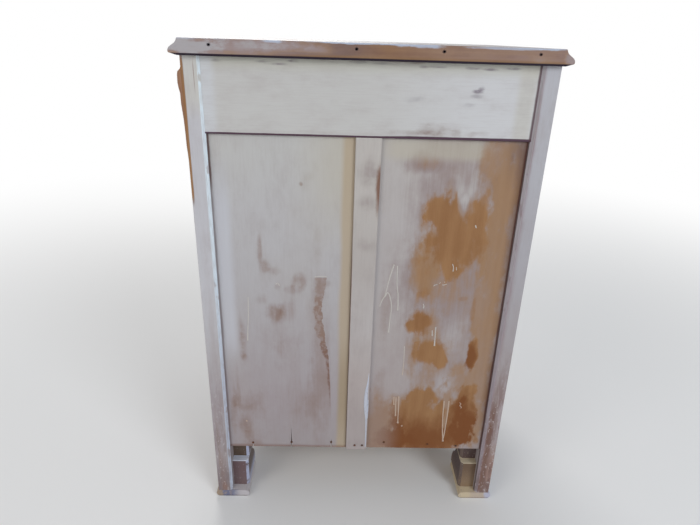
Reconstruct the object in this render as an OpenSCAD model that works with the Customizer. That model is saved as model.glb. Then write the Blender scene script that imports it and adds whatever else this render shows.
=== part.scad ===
// Bedside pot cupboard: a drawer over a panelled door, in a nailed and dovetailed carcass.
// Millimetres. The front faces -Y, left and right are as seen from the front, and the floor is z = 0.
// Every module is written from the back plane: y = 0 there, and y grows negative towards the front.

/* [Carcass] */
// Height from the floor to the top surface
height = 750; // [715:1:800]
// Width over the outer faces of the two sides
body_w = 480; // [430:1:540]
// Depth of the sides, front edge to back edge
body_d = 365; // [335:1:410]
// Thickness of each side board
side_t = 25; // [21:0.5:30]
// Chamfer on the inner back arris of each side
side_chamfer = 4; // [2:0.5:7]
// Depth of the housings and grooves that are cut in the sides
housing = 6; // [4:0.5:9]
// Easing on the arrises that a hand meets
arris = 0.8; // [0.3:0.1:1.5]
// Clearance all round a glued joint
glue_gap = 0.1; // [0.05:0.05:0.2]

/* [Top] */
// Thickness of the top board
top_t = 20; // [18:0.5:24]
// How far the moulded nose stands outside the sides and the front
top_over = 11.5; // [8:0.5:16]
// How far the top stands behind the back plane
top_back_over = 8; // [3:0.5:12]
// Radius of the hollow, which is the upper part of the moulding
cove_r = 9.5; // [7:0.5:10]
// Radius of the round, which is the lower part of the moulding
ovolo_r = 6.8; // [5:0.1:7.5]
// Slope of the moulding where it turns from round to hollow, in degrees from upright
ogee_slope = 56; // [50:1:58]
// Slope of the hollow where it meets the top surface, in degrees from upright
ogee_end = 12; // [5:1:25]
// Radius under the nose
nose_r = 2; // [1:0.5:2.5]
// Height of the sloping undercut below the nose
undercut = 2.5; // [1.5:0.5:3]
// Radius of the old nail holes in the back edge of the top
old_hole_r = 1.3; // [0.8:0.1:2]
// Depth of the old nail holes
old_hole_deep = 12; // [6:1:20]
// Distance of the old nail holes below the top surface
old_hole_down = 7; // [4:0.5:9]
// Distance of the screws that hold the top from the ends of the kickers
top_screw_in = 40; // [20:1:70]

/* [Feet] */
// Length of a bracket foot along the side and along the front
foot_len = 80; // [60:1:100]
// Height at which the toe of the foot reaches furthest
toe_h = 18; // [15:1:24]
// Radius of the bulging toe
toe_r = 39; // [30:1:48]
// Radius of the hollow neck above the toe
neck_r = 26; // [18:1:28]
// Height of the arch between the feet
arch_h = 94; // [86:1:98]
// Thickness of the pad under each foot
pad_t = 13; // [10:0.5:14]
// How far a pad stands outside the foot
pad_out = 4; // [2:0.5:8]
// How far a pad stands past the toe and the inner face of the foot
pad_in = 1.5; // [1:0.5:5]
// Extra rounding of a pad's corners, beyond its bull nose
pad_corner = 1.5; // [1:0.5:5]
// Thickness of the block inside a back foot
foot_block_t = 27; // [18:1:32]
// Height of the lower step of that block
step_h = 68; // [45:1:80]
// Distance of the lower step from the back plane
step_in = 14; // [8:1:18]
// Depth of the ledge on top of the lower step
ledge = 11; // [6:1:20]
// Chamfer on the inner back arris of the block
block_chamfer = 4; // [2:0.5:8]

/* [Back] */
// Height of the wide rail across the top of the back
back_rail_h = 96; // [60:1:110]
// Thickness of the back rail and the muntin
back_rail_t = 18; // [16:0.5:20]
// Distance of the rail and the muntin from the back plane
back_rail_in = 3; // [1:0.5:5]
// Width of the muntin between the two panels
muntin_w = 35; // [28:1:50]
// Rounding of the lower corners of the muntin
muntin_r = 4; // [1:0.5:6]
// Thickness of the back panels
panel_t = 8; // [6:0.5:9]
// Distance of the panels from the back plane
panel_in = 8; // [7:0.5:9]
// Length of the longest split in the right panel
split_len = 42; // [20:1:60]
// Width of a split where it opens
split_w = 2; // [1:0.1:3]
// Distance of the panel nails from the lower edge of the back
nail_up = 8; // [6:0.5:10]
// Radius of a nail head
nail_head_r = 1.9; // [1.5:0.1:2.5]
// Radius of a nail shank
nail_r = 0.9; // [0.7:0.1:1.2]
// Length of a back nail
nail_len = 28; // [20:1:36]
// Thickness of a nail head
nail_head_t = 0.6; // [0.4:0.1:1]

/* [Split strip] */
// How far the sprung strip stands off the right side, at the top back corner
strip_out = 5.4; // [3:0.2:8]
// Length of the sprung strip
strip_len = 118; // [70:1:150]
// Depth of the sprung strip from back to front
strip_d = 24; // [12:1:40]
// Distance from the top surface down to the end of the strip
strip_down = 33.5; // [30:0.5:60]

/* [Base] */
// Height of the underside of the bottom board
bottom_z = 106; // [100:1:115]
// Thickness of the bottom board
bottom_t = 16; // [12:0.5:20]
// Thickness of the front apron
apron_t = 20; // [16:0.5:24]
// Side of the square blocks in the front corners
corner_block = 30; // [20:1:34]
// Length of the glue blocks behind the apron
glue_block_len = 50; // [30:1:70]
// Side of the glue blocks behind the apron
glue_block = 10; // [8:0.5:11]

/* [Drawer opening] */
// Thickness of the front rails, the runners and the kickers
rail_t = 20; // [16:0.5:24]
// Depth of the front rails, front to back
rail_d = 60; // [45:1:80]
// Clear height of the drawer opening
drawer_open_h = 84; // [70:1:95]
// Width of the runners and the kickers
runner_w = 30; // [22:1:40]
// Thickness of the dust board
dust_t = 6; // [4:0.5:8]
// Length of the dovetails on the top rail
rail_tail = 12; // [8:1:16]
// Width of the dovetails on the top rail at their root
rail_tail_w = 36; // [24:1:40]

/* [Drawer] */
// Thickness of the drawer front
drawer_front_t = 20; // [18:0.5:24]
// Thickness of the drawer sides and back
drawer_side_t = 10; // [8:0.5:12]
// Thickness of the drawer bottom
drawer_bottom_t = 6; // [4:0.5:7]
// Gap between the drawer and the carcass at each side
drawer_gap = 1.2; // [0.6:0.1:2]
// Gap above and below the drawer front
drawer_gap_z = 1; // [0.5:0.1:2]
// Wood left in front of the dovetails in the drawer front
lap = 6; // [4:0.5:8]
// Number of dovetails at each front corner
tails_front = 3; // [2:1:4]
// Number of dovetails at each back corner
tails_back = 2; // [1:1:3]
// Half width of a tail at its root, as a share of the pitch
tail_share = 0.31; // [0.26:0.01:0.34]
// Slope of the dovetails in degrees
tail_slope = 8; // [5:1:10]
// Space left behind the drawer when it is shut
drawer_behind = 10; // [5:1:30]
// Height of the drawer stops
stop_h = 6; // [4:0.5:7]
// Width of the drawer stops and the door stop
stop_w = 25; // [16:1:34]
// Depth of the drawer stops and the door stop, front to back
stop_d = 15; // [10:1:24]
// Length of the nails under the drawer bottom
bottom_nail_len = 17; // [12:1:22]
// How much lower the drawer sides are than the drawer front
side_low = 1.5; // [0.5:0.5:4]
// How much lower the back of the drawer is than its sides
back_low = 3; // [1:0.5:8]
// Height of the drawer bottom above the stops that it passes
bottom_up = 2.5; // [1:0.5:5]

/* [Door] */
// Thickness of the door frame
door_t = 20; // [18:0.5:24]
// Gap round the door
door_gap = 1.5; // [1.2:0.1:2.5]
// Width of the door stiles
stile_w = 52; // [42:1:64]
// Width of the top rail of the door
door_top_w = 52; // [42:1:64]
// Width of the bottom rail of the door
door_bottom_w = 62; // [48:1:76]
// Length of the tenons of the door
tenon_len = 30; // [20:1:36]
// Thickness of the tenons of the door
tenon_t = 7; // [6:0.5:9]
// How much narrower a tenon is than its rail, at each edge
tenon_in = 10; // [8:1:14]
// Depth of the grooves round the door panel
door_groove = 8; // [6:0.5:10]
// Thickness of the door panel at its tongue
tongue_t = 6; // [5:0.5:7]
// How much the raised field stands in front of the tongue
field_rise = 3; // [2:0.5:4]
// Width of the bevel round the raised field
bevel_w = 26; // [15:1:36]
// Height of the step between the bevel and the raised field
field_step = 1; // [0.5:0.1:1.5]
// Gap round the door panel in its grooves
panel_gap = 0.5; // [0.3:0.1:1]
// Width of the bead that frames the panel
bead_w = 8; // [6:0.5:10]
// How far the beads lie behind the face of the door frame
bead_in = 1; // [0.5:0.1:1.5]

/* [Hinges] */
// Height of a hinge
hinge_h = 50; // [40:1:65]
// Width of a hinge leaf
leaf_w = 16; // [12:0.5:18]
// Thickness of a hinge leaf
leaf_t = 1.5; // [1.2:0.1:2]
// Outer radius of the hinge knuckles
knuckle_r = 3.2; // [3:0.1:4]
// Number of knuckles of a hinge
knuckles = 5; // [3:2:7]
// Gap between the ends of two knuckles
knuckle_gap = 0.2; // [0.1:0.05:0.4]
// Height of the caps on the hinge pins
pin_cap = 2; // [1:0.5:4]
// Radius of the hinge pin
pin_r = 1.5; // [1.2:0.1:1.8]
// Radial clearance of the pin in its knuckles
pin_gap = 0.05; // [0.02:0.01:0.1]
// Distance of each hinge's middle from the end of the door
hinge_in = 70; // [50:1:110]
// Radius of the screws' shanks
screw_r = 1.4; // [1.2:0.1:1.6]
// Radius of the screws' heads
screw_head_r = 2.8; // [2.4:0.1:3]
// Length of the screws
screw_len = 14; // [10:0.5:16]

/* [Knobs and latch] */
// How far the knobs stand out from the front
knob_reach = 28; // [20:1:36]
// Radius of the knobs
knob_r = 15; // [11:0.5:18]
// Radius of the knobs' foot
knob_foot_r = 9.3; // [8:0.1:11]
// Thickness of the knobs' foot
knob_foot_t = 2; // [1:0.5:4]
// Radius of the knobs' neck
knob_neck_r = 6.3; // [5:0.1:7]
// Depth of the sockets in the knobs
socket = 12; // [8:1:16]
// Thickness of the head on the drawer knob's screw
knob_head_t = 1.6; // [1:0.1:2.5]
// Height of the latch knob above the underside of the door
latch_up = 280; // [250:1:330]
// Gap between the latch knob and the door
latch_knob_gap = 0.4; // [0.3:0.1:1]
// Radius of the latch spindle
spindle_r = 3; // [2.5:0.1:4]
// Width of the collar on the spindle
collar_w = 2.5; // [1.5:0.1:4]
// Height of the riveted end of the spindle
rivet_t = 1.5; // [1:0.1:2]
// Radial clearance of the spindle in the door
spindle_gap = 0.05; // [0.02:0.01:0.1]
// Length of the tongue from the spindle's axis
tongue_len = 24; // [20:0.5:25]
// Width of the tongue
tongue_w = 10; // [9:0.5:12]
// Thickness of the tongue
latch_t = 3; // [2:0.5:4]
// Thickness of the keeper's plates
keeper_t = 2; // [1.5:0.1:2.5]
// How far the keeper reaches in from the side
keeper_reach = 13; // [10:0.5:15]
// Height of the keeper
keeper_h = 30; // [26:1:36]
// Depth of the keeper's plate on the side, front to back
keeper_d = 18; // [15:1:24]
// Distance of the keeper's screws from the back of that plate
keeper_screw_in = 6; // [5:0.5:8]
// Gap that the tongue clears on each face
latch_gap = 0.5; // [0.3:0.1:1]

/* [Shelf] */
// Height of the underside of the shelf above the bottom board
shelf_up = 230; // [190:1:232]
// Thickness of the shelf
shelf_t = 14; // [10:0.5:18]
// Distance of the shelf behind the door
shelf_back = 14; // [12:1:60]
// Width of the shelf bearers
bearer_w = 15; // [10:1:22]
// Height of the shelf bearers
bearer_h = 18; // [12:1:26]
// How far the bearers stop behind the front edge of the shelf
bearer_back = 10; // [2:1:30]

/* [Hidden] */
$fn = 48;
cut = 1;                                            // how far a cutter runs past the face it cuts
hair = 0.01;                                        // the same for a countersink, which must keep its width
fit = 0.3;                                          // clearance of what is put in dry or has to move

paint = "#cfc8c2";
bare_top = "#a98678";
bare_wood = "#a9713f";
inner_wood = "#b98f63";
brass = "#b08d4f";
iron = "#3b3532";

side_x = body_w / 2;                                // outer face of the right side
in_x = side_x - side_t;                             // inner face of the right side
side_top = height - top_t;                          // upper end of the sides
front_y = -body_d;                                  // front plane
back_y = (body_d + knob_reach - top_back_over) / 2; // sets the origin under the middle of the box

back_rail_z = side_top - back_rail_h;               // lower edge of the back rail
rail_back_y = -back_rail_in - back_rail_t;          // inner face of the rail and the muntin
panel_back_y = -panel_in - panel_t;                 // inner face of the back panels
bottom_top = bottom_z + bottom_t;                   // upper face of the bottom board
drawer_top_z = side_top - rail_t;                   // upper edge of the drawer opening
drawer_low_z = drawer_top_z - drawer_open_h;        // lower edge of the drawer opening
door_open_top = drawer_low_z - rail_t;              // upper edge of the door opening
rails_back_y = front_y + rail_d;                    // back edges of the two front rails
rail_tenon_y = [front_y + rail_d / 5, rails_back_y - rail_d / 5]; // tenons of the drawer rail
runner_in = housing - 1;                            // how far the runners are let into the sides

function arc(c, r, a, b, n = 10) =
    [for (i = [0:n]) c + r * [cos(a + (b - a) * i / n), sin(a + (b - a) * i / n)]];
function reversed(p) = [for (i = [len(p) - 1:-1:0]) p[i]];
function mirrored(p) = [for (q = reversed(p)) [-q[0], q[1]]];

// Inner edge of a bracket foot as [distance from the outer corner, height], from the pad to the arch
toe_c = [foot_len - toe_r, toe_h];
bend = asin((arch_h - neck_r - toe_h) / (toe_r + neck_r));
neck_c = toe_c + (toe_r + neck_r) * [cos(bend), sin(bend)];
foot_edge = concat(
    arc(toe_c, toe_r, -asin((toe_h - pad_t) / toe_r), bend, 12),
    arc(neck_c, neck_r, 180 + bend, 90, 16));

// ---- helpers ----

// Moves a piece from the back plane to its place about the origin
module placed() {
    translate([0, back_y, 0])
        children();
}

// Draws a right-hand piece, or its mirror image for the left
module hand(side) {
    if (side > 0)
        children();
    else
        mirror([1, 0, 0])
            children();
}

// Extrudes an outline of [y, z] from x0 to x1
module across(x0, x1) {
    translate([x0, 0, 0])
        rotate([90, 0, 90])
            linear_extrude(x1 - x0)
                children();
}

// Extrudes an outline of [x, z] from y0 to y1
module along(y0, y1) {
    translate([0, y1, 0])
        rotate([90, 0, 0])
            linear_extrude(y1 - y0)
                children();
}

// Extrudes an outline of [x, y] from z0 to z1
module upright(z0, z1) {
    translate([0, 0, z0])
        linear_extrude(z1 - z0)
            children();
}

// Plain block that fills the ranges x, y and z
module block(x, y, z) {
    translate([x[0], y[0], z[0]])
        cube([x[1] - x[0], y[1] - y[0], z[1] - z[0]]);
}

// Rectangle over the ranges u and v, its four corners cut by the easing
module eased_rect(u, v, e) {
    polygon([
        [u[0] + e, v[0]], [u[1] - e, v[0]], [u[1], v[0] + e], [u[1], v[1] - e],
        [u[1] - e, v[1]], [u[0] + e, v[1]], [u[0], v[1] - e], [u[0], v[0] + e]]);
}

// Board that fills the ranges x, y and z, all its arrises eased
module board(x, y, z, e = arris) {
    intersection() {
        upright(z[0], z[1])
            eased_rect(x, y, e);
        along(y[0], y[1])
            eased_rect(x, z, e);
        across(x[0], x[1])
            eased_rect(y, z, e);
    }
}

// Round rod from a point towards the back, along +Y
module rod_back(p, r, len) {
    translate(p)
        rotate([-90, 0, 0])
            cylinder(r = r, h = len);
}

// ---- top ----

// Moulded edge from the underside to the top surface: [distance outwards, height]. A small nose, a round
// and a hollow, with a straight slope between those two that takes up the rest of the height
function moulding(nose) =
    let (
        round_c = [nose - ovolo_r, side_top + undercut + nose_r],
        round_end = round_c + ovolo_r * [cos(ogee_slope), sin(ogee_slope)],
        hollow_rise = cove_r * (sin(ogee_slope) - sin(ogee_end)),
        straight = height - arris - round_end[1] - hollow_rise,
        hollow_c = round_end + [-straight * tan(ogee_slope), straight]
            + cove_r * [cos(ogee_slope), sin(ogee_slope)],
        top_end = hollow_c - cove_r * [cos(ogee_end), sin(ogee_end)])
    concat(
        [[nose - top_over + arris, side_top]],
        arc([nose - nose_r, side_top + undercut + nose_r], nose_r, -90, 0, 6),
        arc(round_c, ovolo_r, 0, ogee_slope),
        arc(hollow_c, cove_r, 180 + ogee_slope, 180 + ogee_end),
        [top_end + [-arris, arris]]);

old_hole_x = [0.8375, 0.085, -0.365, -0.865] * side_x;

module top_board() {
    nose = side_x + top_over;
    front = body_d + top_over;
    color(bare_top)
        placed()
            difference() {
                intersection() {
                    along(-front - cut, top_back_over)
                        polygon(concat(moulding(nose), mirrored(moulding(nose))));
                    across(-nose - cut, nose + cut)
                        polygon(concat(
                            [[top_back_over, height], [top_back_over, side_top]],
                            [for (p = moulding(front)) [-p[0], p[1]]]));
                }
                for (x = old_hole_x)
                    rod_back([x, top_back_over - old_hole_deep, height - old_hole_down], old_hole_r,
                        old_hole_deep + cut);
                top_screw_places()
                    translate([0, 0, -cut])
                        cylinder(r = screw_r + glue_gap, h = screw_len + cut);
            }
}

// Undersides of the screws that hold the top, two through each kicker
module top_screw_places() {
    for (side = [-1, 1], y = [rails_back_y + top_screw_in, rail_back_y - top_screw_in])
        translate([side * (in_x - runner_w / 2), y, side_top])
            children();
}

// ---- sides ----

side_outline = concat(
    [[0, pad_t], [0, side_top], [front_y, side_top], [front_y, pad_t]],
    [for (p = foot_edge) [front_y + p[0], p[1]]],
    mirrored(foot_edge));

// Cutter for a housing in the inner face of the right side
module side_housing(y, z, deep = housing) {
    block([in_x - cut, in_x + deep + glue_gap],
        [y[0] - glue_gap, y[1] + glue_gap], [z[0] - glue_gap, z[1] + glue_gap]);
}

module side_blank() {
    difference() {
        intersection() {
            across(in_x, side_x)
                polygon(side_outline);
            upright(0, height)
                eased_rect([in_x, side_x], [front_y, 0], arris);
        }
        upright(0, height)
            polygon([
                [in_x - cut, -side_chamfer - cut],
                [in_x + side_chamfer + cut, cut],
                [in_x - cut, cut]]);
        side_housing([panel_back_y, -panel_in], [bottom_z, back_rail_z + housing]);
        side_housing([rail_back_y, -back_rail_in], [back_rail_z, side_top + cut]);
        side_housing([front_y + apron_t, panel_back_y], [bottom_z, bottom_top]);
        side_housing(rail_tenon_y, [door_open_top, drawer_low_z], rail_tail);
        side_housing([rails_back_y, rail_back_y], [door_open_top, drawer_low_z], runner_in);
        rail_dovetail(glue_gap);
    }
}

module side_right() {
    color(paint)
        placed()
            difference() {
                side_blank();
                keeper_screw_places()
                    cylinder(r = screw_r + glue_gap, h = screw_len + cut);
            }
}

module side_left() {
    color(paint)
        placed()
            difference() {
                hand(-1)
                    side_blank();
                for (z = hinge_z)
                    leaf_recess(-1, z);
                hinge_screw_places(-1)
                    cylinder(r = screw_r + glue_gap, h = screw_len + cut);
            }
}

// Thin strip of the right side that has sprung off at the top back corner, widest near its broken end
strip_shape = [
    [0, 0], [0.15, -0.02], [0.8, -0.05], [0.93, -0.08], [1, -0.16], [0.88, -0.21], [0.6, -0.27], [0.6, -0.38],
    [0.33, -0.54], [0.24, -0.68], [0.2, -0.84], [0.08, -0.92], [0, -1]];

module side_split_strip() {
    color(bare_wood)
        placed()
            translate([side_x, 0, height - strip_down])
                along(-strip_d, -arris)
                    polygon([for (p = strip_shape) [p[0] * strip_out, p[1] * strip_len]]);
}

// ---- base ----

module bottom_board() {
    notch = muntin_w / 2 + glue_gap;
    tongue_x = in_x + housing;
    color(inner_wood)
        placed()
            difference() {
                union() {
                    block([-tongue_x, tongue_x], [front_y + apron_t, panel_back_y], [bottom_z, bottom_top]);
                    block([-in_x, in_x], [front_y + apron_t - housing, front_y + apron_t],
                        [bottom_z, bottom_top - bottom_t / 2]);
                }
                block([-notch, notch], [rail_back_y - glue_gap, 0], [0, height]);
                back_nail_places()
                    rod_back([0, -nail_len - cut, 0], nail_r + glue_gap, nail_len + cut);
            }
}

// Apron between the sides, with bracket ends that meet the feet
module front_apron() {
    ends = [for (p = foot_edge) [side_x - p[0], p[1]]];
    outline = concat(
        [[in_x, pad_t], [in_x, bottom_top], [-in_x, bottom_top], [-in_x, pad_t]],
        reversed(mirrored(ends)),
        reversed(ends));
    color(paint)
        placed()
            difference() {
                along(front_y, front_y + apron_t)
                    polygon(outline);
                block([-in_x - cut, in_x + cut],
                    [front_y + apron_t - housing - glue_gap, front_y + apron_t + cut],
                    [bottom_z - glue_gap, bottom_top - bottom_t / 2 + glue_gap]);
            }
}

module apron_glue_blocks() {
    color(inner_wood)
        placed()
            for (i = [-1:1])
                translate([i * (in_x - neck_c[0]), front_y + apron_t, bottom_z])
                    across(-glue_block_len / 2, glue_block_len / 2)
                        polygon([[0, 0], [glue_block, 0], [0, -glue_block]]);
}

module front_block(side) {
    color(inner_wood)
        placed()
            hand(side)
                board([in_x - corner_block, in_x],
                    [front_y + apron_t, front_y + apron_t + corner_block], [pad_t, bottom_z]);
}

// Stepped block inside a back foot, its front edge cut to the bracket
module rear_foot_block(side) {
    top_y = -step_in - ledge;
    outline = concat(
        [[-step_in, pad_t], [-step_in, step_h], [top_y, step_h], [top_y, bottom_z], [-neck_c[0], bottom_z]],
        mirrored(foot_edge));
    inner = in_x - foot_block_t;
    color(paint)
        placed()
            hand(side)
                difference() {
                    across(inner, in_x)
                        polygon(outline);
                    for (step = [[-step_in, pad_t - cut, step_h + cut], [top_y, step_h, bottom_z + cut]])
                        upright(step[1], step[2])
                            polygon([
                                [inner - cut, step[0] - block_chamfer - cut],
                                [inner + block_chamfer + cut, step[0] + cut],
                                [inner - cut, step[0] + cut]]);
                }
}

// Slab with a bull nose all round, over the ranges x and y
module bull_nosed(x, y) {
    r = pad_t / 2;
    c = r + pad_corner;
    hull()
        for (px = [x[0] + c, x[1] - c], py = [y[0] + c, y[1] - c])
            translate([px, py, r])
                rotate_extrude($fn = 24)
                    intersection() {
                        translate([pad_corner, 0])
                            circle(r = r, $fn = 24);
                        translate([0, -r])
                            square([c, 2 * r]);
                    }
}

// Pad under a back foot, sawn off flush with the back plane
module pad_rear(side) {
    color(paint)
        placed()
            hand(side)
                intersection() {
                    bull_nosed([in_x - foot_block_t - pad_in, side_x + pad_out],
                        [-foot_len - pad_in, pad_t]);
                    block([0, body_w], [-body_d, 0], [0, pad_t]);
                }
}

// Pad under a front corner: one leg under the side, one under the apron
module pad_front(side) {
    low_y = front_y - pad_out;
    color(paint)
        placed()
            hand(side)
                union() {
                    bull_nosed([in_x - pad_in - pad_t, side_x + pad_out],
                        [low_y, front_y + foot_len + pad_in]);
                    bull_nosed([side_x - foot_len - pad_in, side_x + pad_out],
                        [low_y, front_y + apron_t + pad_in + pad_t]);
                }
}

// ---- back ----

module back_rail() {
    reach = in_x + housing;
    color(paint)
        placed()
            difference() {
                board([-reach, reach], [rail_back_y, -back_rail_in], [back_rail_z, side_top]);
                block([-reach - cut, reach + cut],
                    [panel_back_y - glue_gap, -panel_in + glue_gap],
                    [back_rail_z - cut, back_rail_z + housing + glue_gap]);
            }
}

// Outline of the muntin in [x, z], with its lower corners rounded
function muntin_outline() =
    let (w = muntin_w / 2)
    concat(
        arc([-w + muntin_r, bottom_z + muntin_r], muntin_r, 180, 270, 6),
        arc([w - muntin_r, bottom_z + muntin_r], muntin_r, 270, 360, 6),
        [[w, back_rail_z], [-w, back_rail_z]]);

module back_muntin() {
    w = muntin_w / 2;
    core = w - housing - glue_gap;
    color(paint)
        placed()
            difference() {
                union() {
                    intersection() {
                        along(rail_back_y, -back_rail_in)
                            polygon(muntin_outline());
                        upright(0, height)
                            eased_rect([-w, w], [rail_back_y, -back_rail_in], arris);
                    }
                    block([-core, core], [panel_back_y, -panel_in],
                        [back_rail_z - cut, back_rail_z + housing]);
                }
                for (side = [-1, 1])
                    hand(side)
                        block([w - housing - glue_gap, w + cut],
                            [panel_back_y - glue_gap, -panel_in + glue_gap], [0, back_rail_z + cut]);
                back_nail_places()
                    rod_back([0, -nail_len - cut, 0], nail_r + glue_gap, nail_len + 2 * cut);
            }
}

// Nails along the foot of the back: [x, height above the lower edge of the back, depth of the surface]
muntin_nails = [for (x = [0.17, -0.56]) [x * muntin_w / 2, nail_up + 1, back_rail_in]];
panel_nails = [
    for (p = [[-0.22, 4], [-0.57, 1], [-0.8, -2], [0.2, 3], [0.515, 2], [0.82, 0]])
        [p[0] * in_x, nail_up + p[1], panel_in]];

// Splits that run up from the lower edge of the right panel: [share of its width, share of split_len]
splits = [[0.2, 0.45], [0.515, 1], [0.82, 0.36]];

module back_nail_places() {
    for (n = concat(muntin_nails, panel_nails))
        translate([n[0], -n[2], bottom_z + n[1]])
            children();
}

module back_panel(side) {
    inner = muntin_w / 2 - housing + glue_gap;
    color(paint)
        placed()
            difference() {
                hand(side)
                    block([inner, in_x + housing], [panel_back_y, -panel_in],
                        [bottom_z, back_rail_z + housing]);
                back_nail_places()
                    rod_back([0, -nail_len, 0], nail_r + glue_gap, nail_len + cut);
                if (side > 0)
                    for (s = splits)
                        along(panel_back_y - cut, cut)
                            polygon([
                                [s[0] * in_x - split_w / 2, bottom_z - cut],
                                [s[0] * in_x + split_w / 2, bottom_z - cut],
                                [s[0] * in_x, bottom_z + s[1] * split_len]]);
            }
}

module back_nails() {
    color(iron)
        placed()
            back_nail_places()
                union() {
                    rod_back([0, -nail_len, 0], nail_r, nail_len);
                    rod_back([0, 0, 0], nail_head_r, nail_head_t);
                }
}

// ---- rails, runners and dust board ----

// Dovetail of the top rail in the right side, seen from above
module rail_dovetail(extra = 0) {
    mid = front_y + rail_d / 2;
    root = rail_tail_w / 2 + extra;
    tip = root + rail_tail * tan(tail_slope);
    upright(drawer_top_z - extra, side_top + (extra > 0 ? cut : 0))
        polygon([
            [in_x - cut, mid - root], [in_x, mid - root], [in_x + rail_tail + extra, mid - tip],
            [in_x + rail_tail + extra, mid + tip], [in_x, mid + root], [in_x - cut, mid + root]]);
}

module front_top_rail() {
    color(paint)
        placed()
            union() {
                block([-in_x, in_x], [front_y, rails_back_y], [drawer_top_z, side_top]);
                for (side = [-1, 1])
                    hand(side)
                        rail_dovetail();
            }
}

module drawer_rail() {
    reach = in_x + rail_tail;
    groove_z = [for (z = [-1, 1]) dust_mid + z * (dust_t / 2 + glue_gap)];
    color(paint)
        placed()
            difference() {
                union() {
                    block([-in_x, in_x], [front_y, rails_back_y], [door_open_top, drawer_low_z]);
                    block([-reach, reach], rail_tenon_y, [door_open_top, drawer_low_z]);
                }
                block([-in_x + runner_w - housing, in_x - runner_w + housing],
                    [rails_back_y - housing - glue_gap, rails_back_y + cut], groove_z);
            }
}

dust_mid = drawer_low_z - rail_t / 2;               // middle of the dust board's thickness

module runner(side) {
    inner = in_x - runner_w;
    groove_z = [for (z = [-1, 1]) dust_mid + z * (dust_t / 2 + glue_gap)];
    color(inner_wood)
        placed()
            hand(side)
                difference() {
                    block([inner, in_x + runner_in], [rails_back_y, rail_back_y],
                        [door_open_top, drawer_low_z]);
                    block([inner - cut, inner + housing + glue_gap],
                        [rails_back_y - cut, rail_back_y + cut], groove_z);
                }
}

module kicker(side) {
    color(inner_wood)
        placed()
            difference() {
                hand(side)
                    block([in_x - runner_w, in_x], [rails_back_y, rail_back_y], [drawer_top_z, side_top]);
                top_screw_places()
                    translate([0, 0, -rail_t - cut]) {
                        cylinder(r = screw_r + glue_gap, h = rail_t + 2 * cut);
                        cylinder(r = screw_head_r + glue_gap, h = cut + screw_head_r);
                    }
            }
}

module dust_board() {
    reach = in_x - runner_w + housing;
    color(inner_wood)
        placed()
            block([-reach, reach], [rails_back_y - housing, rail_back_y],
                [dust_mid - dust_t / 2, dust_mid + dust_t / 2]);
}

module drawer_stops() {
    y0 = front_y + drawer_front_t + fit;
    color(inner_wood)
        placed()
            for (side = [-1, 1])
                hand(side)
                    block([in_x / 2, in_x / 2 + stop_w], [y0, y0 + stop_d],
                        [drawer_low_z, drawer_low_z + stop_h]);
}

module door_stop() {
    y0 = front_y + door_t + fit;
    color(inner_wood)
        placed()
            block([stile_x - stop_w / 2, stile_x + stop_w / 2], [y0, y0 + stop_d],
                [door_open_top - stop_d, door_open_top]);
}

module top_screws() {
    color(iron)
        placed()
            top_screw_places()
                translate([0, 0, -rail_t])
                    union() {
                        cylinder(r = screw_r, h = rail_t + screw_len - cut);
                        cylinder(r1 = screw_head_r, r2 = screw_r, h = screw_head_r);
                    }
}

// ---- shelf ----

shelf_z = bottom_top + shelf_up;                    // underside of the shelf
shelf_front = front_y + door_t + shelf_back;

module shelf() {
    color(inner_wood)
        placed()
            difference() {
                board([-in_x + fit, in_x - fit], [shelf_front, panel_back_y - fit],
                    [shelf_z, shelf_z + shelf_t]);
                block([-muntin_w / 2 - cut, muntin_w / 2 + cut], [rail_back_y - fit, 0], [0, height]);
            }
}

module shelf_bearer(side) {
    color(inner_wood)
        placed()
            hand(side)
                board([in_x - bearer_w, in_x], [shelf_front + bearer_back, panel_back_y - fit],
                    [shelf_z - bearer_h, shelf_z]);
}

// ---- drawer ----

drawer_x = in_x - drawer_gap;                       // outer face of the right drawer side
drawer_in_x = drawer_x - drawer_side_t;             // its inner face
drawer_z0 = drawer_low_z + fit;                     // lower edge of the drawer sides
front_z = [drawer_low_z + drawer_gap_z, drawer_top_z - drawer_gap_z];
drawer_z1 = front_z[1] - side_low;                     // upper edge of the drawer sides
front_back_y = front_y + drawer_front_t;            // back face of the drawer front
drawer_end_y = rail_back_y - drawer_behind;         // back end of the drawer sides
bottom_groove = drawer_z0 + stop_h + bottom_up;     // underside of the drawer bottom
back_z = [bottom_groove + drawer_bottom_t + glue_gap, drawer_z1 - back_low];

// Dovetails in [y, z]: n tails over the height z, narrow at the root and wide at the tip, set 1 mm
// into the wood behind the root
module tails(n, root_y, tip_y, z, extra = 0) {
    pitch = (z[1] - z[0]) / n;
    root = pitch * tail_share;
    tip = root + abs(tip_y - root_y) * tan(tail_slope);
    way = sign(tip_y - root_y);
    for (i = [0:n - 1]) {
        mid = z[0] + pitch * (i + 0.5);
        polygon([
            [root_y - way * cut, mid - root - extra], [root_y, mid - root - extra],
            [tip_y + way * extra, mid - tip - extra], [tip_y + way * extra, mid + tip + extra],
            [root_y, mid + root + extra], [root_y - way * cut, mid + root + extra]]);
    }
}

tail_z = [drawer_z0 + arris, drawer_z1];            // height that the front dovetails share

module drawer_front() {
    color(paint)
        placed()
            difference() {
                board([-drawer_x, drawer_x], [front_y, front_back_y], front_z);
                for (side = [-1, 1])
                    hand(side)
                        across(drawer_in_x - glue_gap, drawer_x + cut)
                            tails(tails_front, front_back_y, front_y + lap, tail_z, glue_gap);
                block([-drawer_in_x, drawer_in_x], [front_back_y - housing, front_back_y + cut],
                    [bottom_groove - glue_gap, bottom_groove + drawer_bottom_t + glue_gap]);
                rod_back([0, front_y - cut, mid_z(front_z)], screw_r + glue_gap, drawer_front_t + 2 * cut);
            }
}

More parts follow.
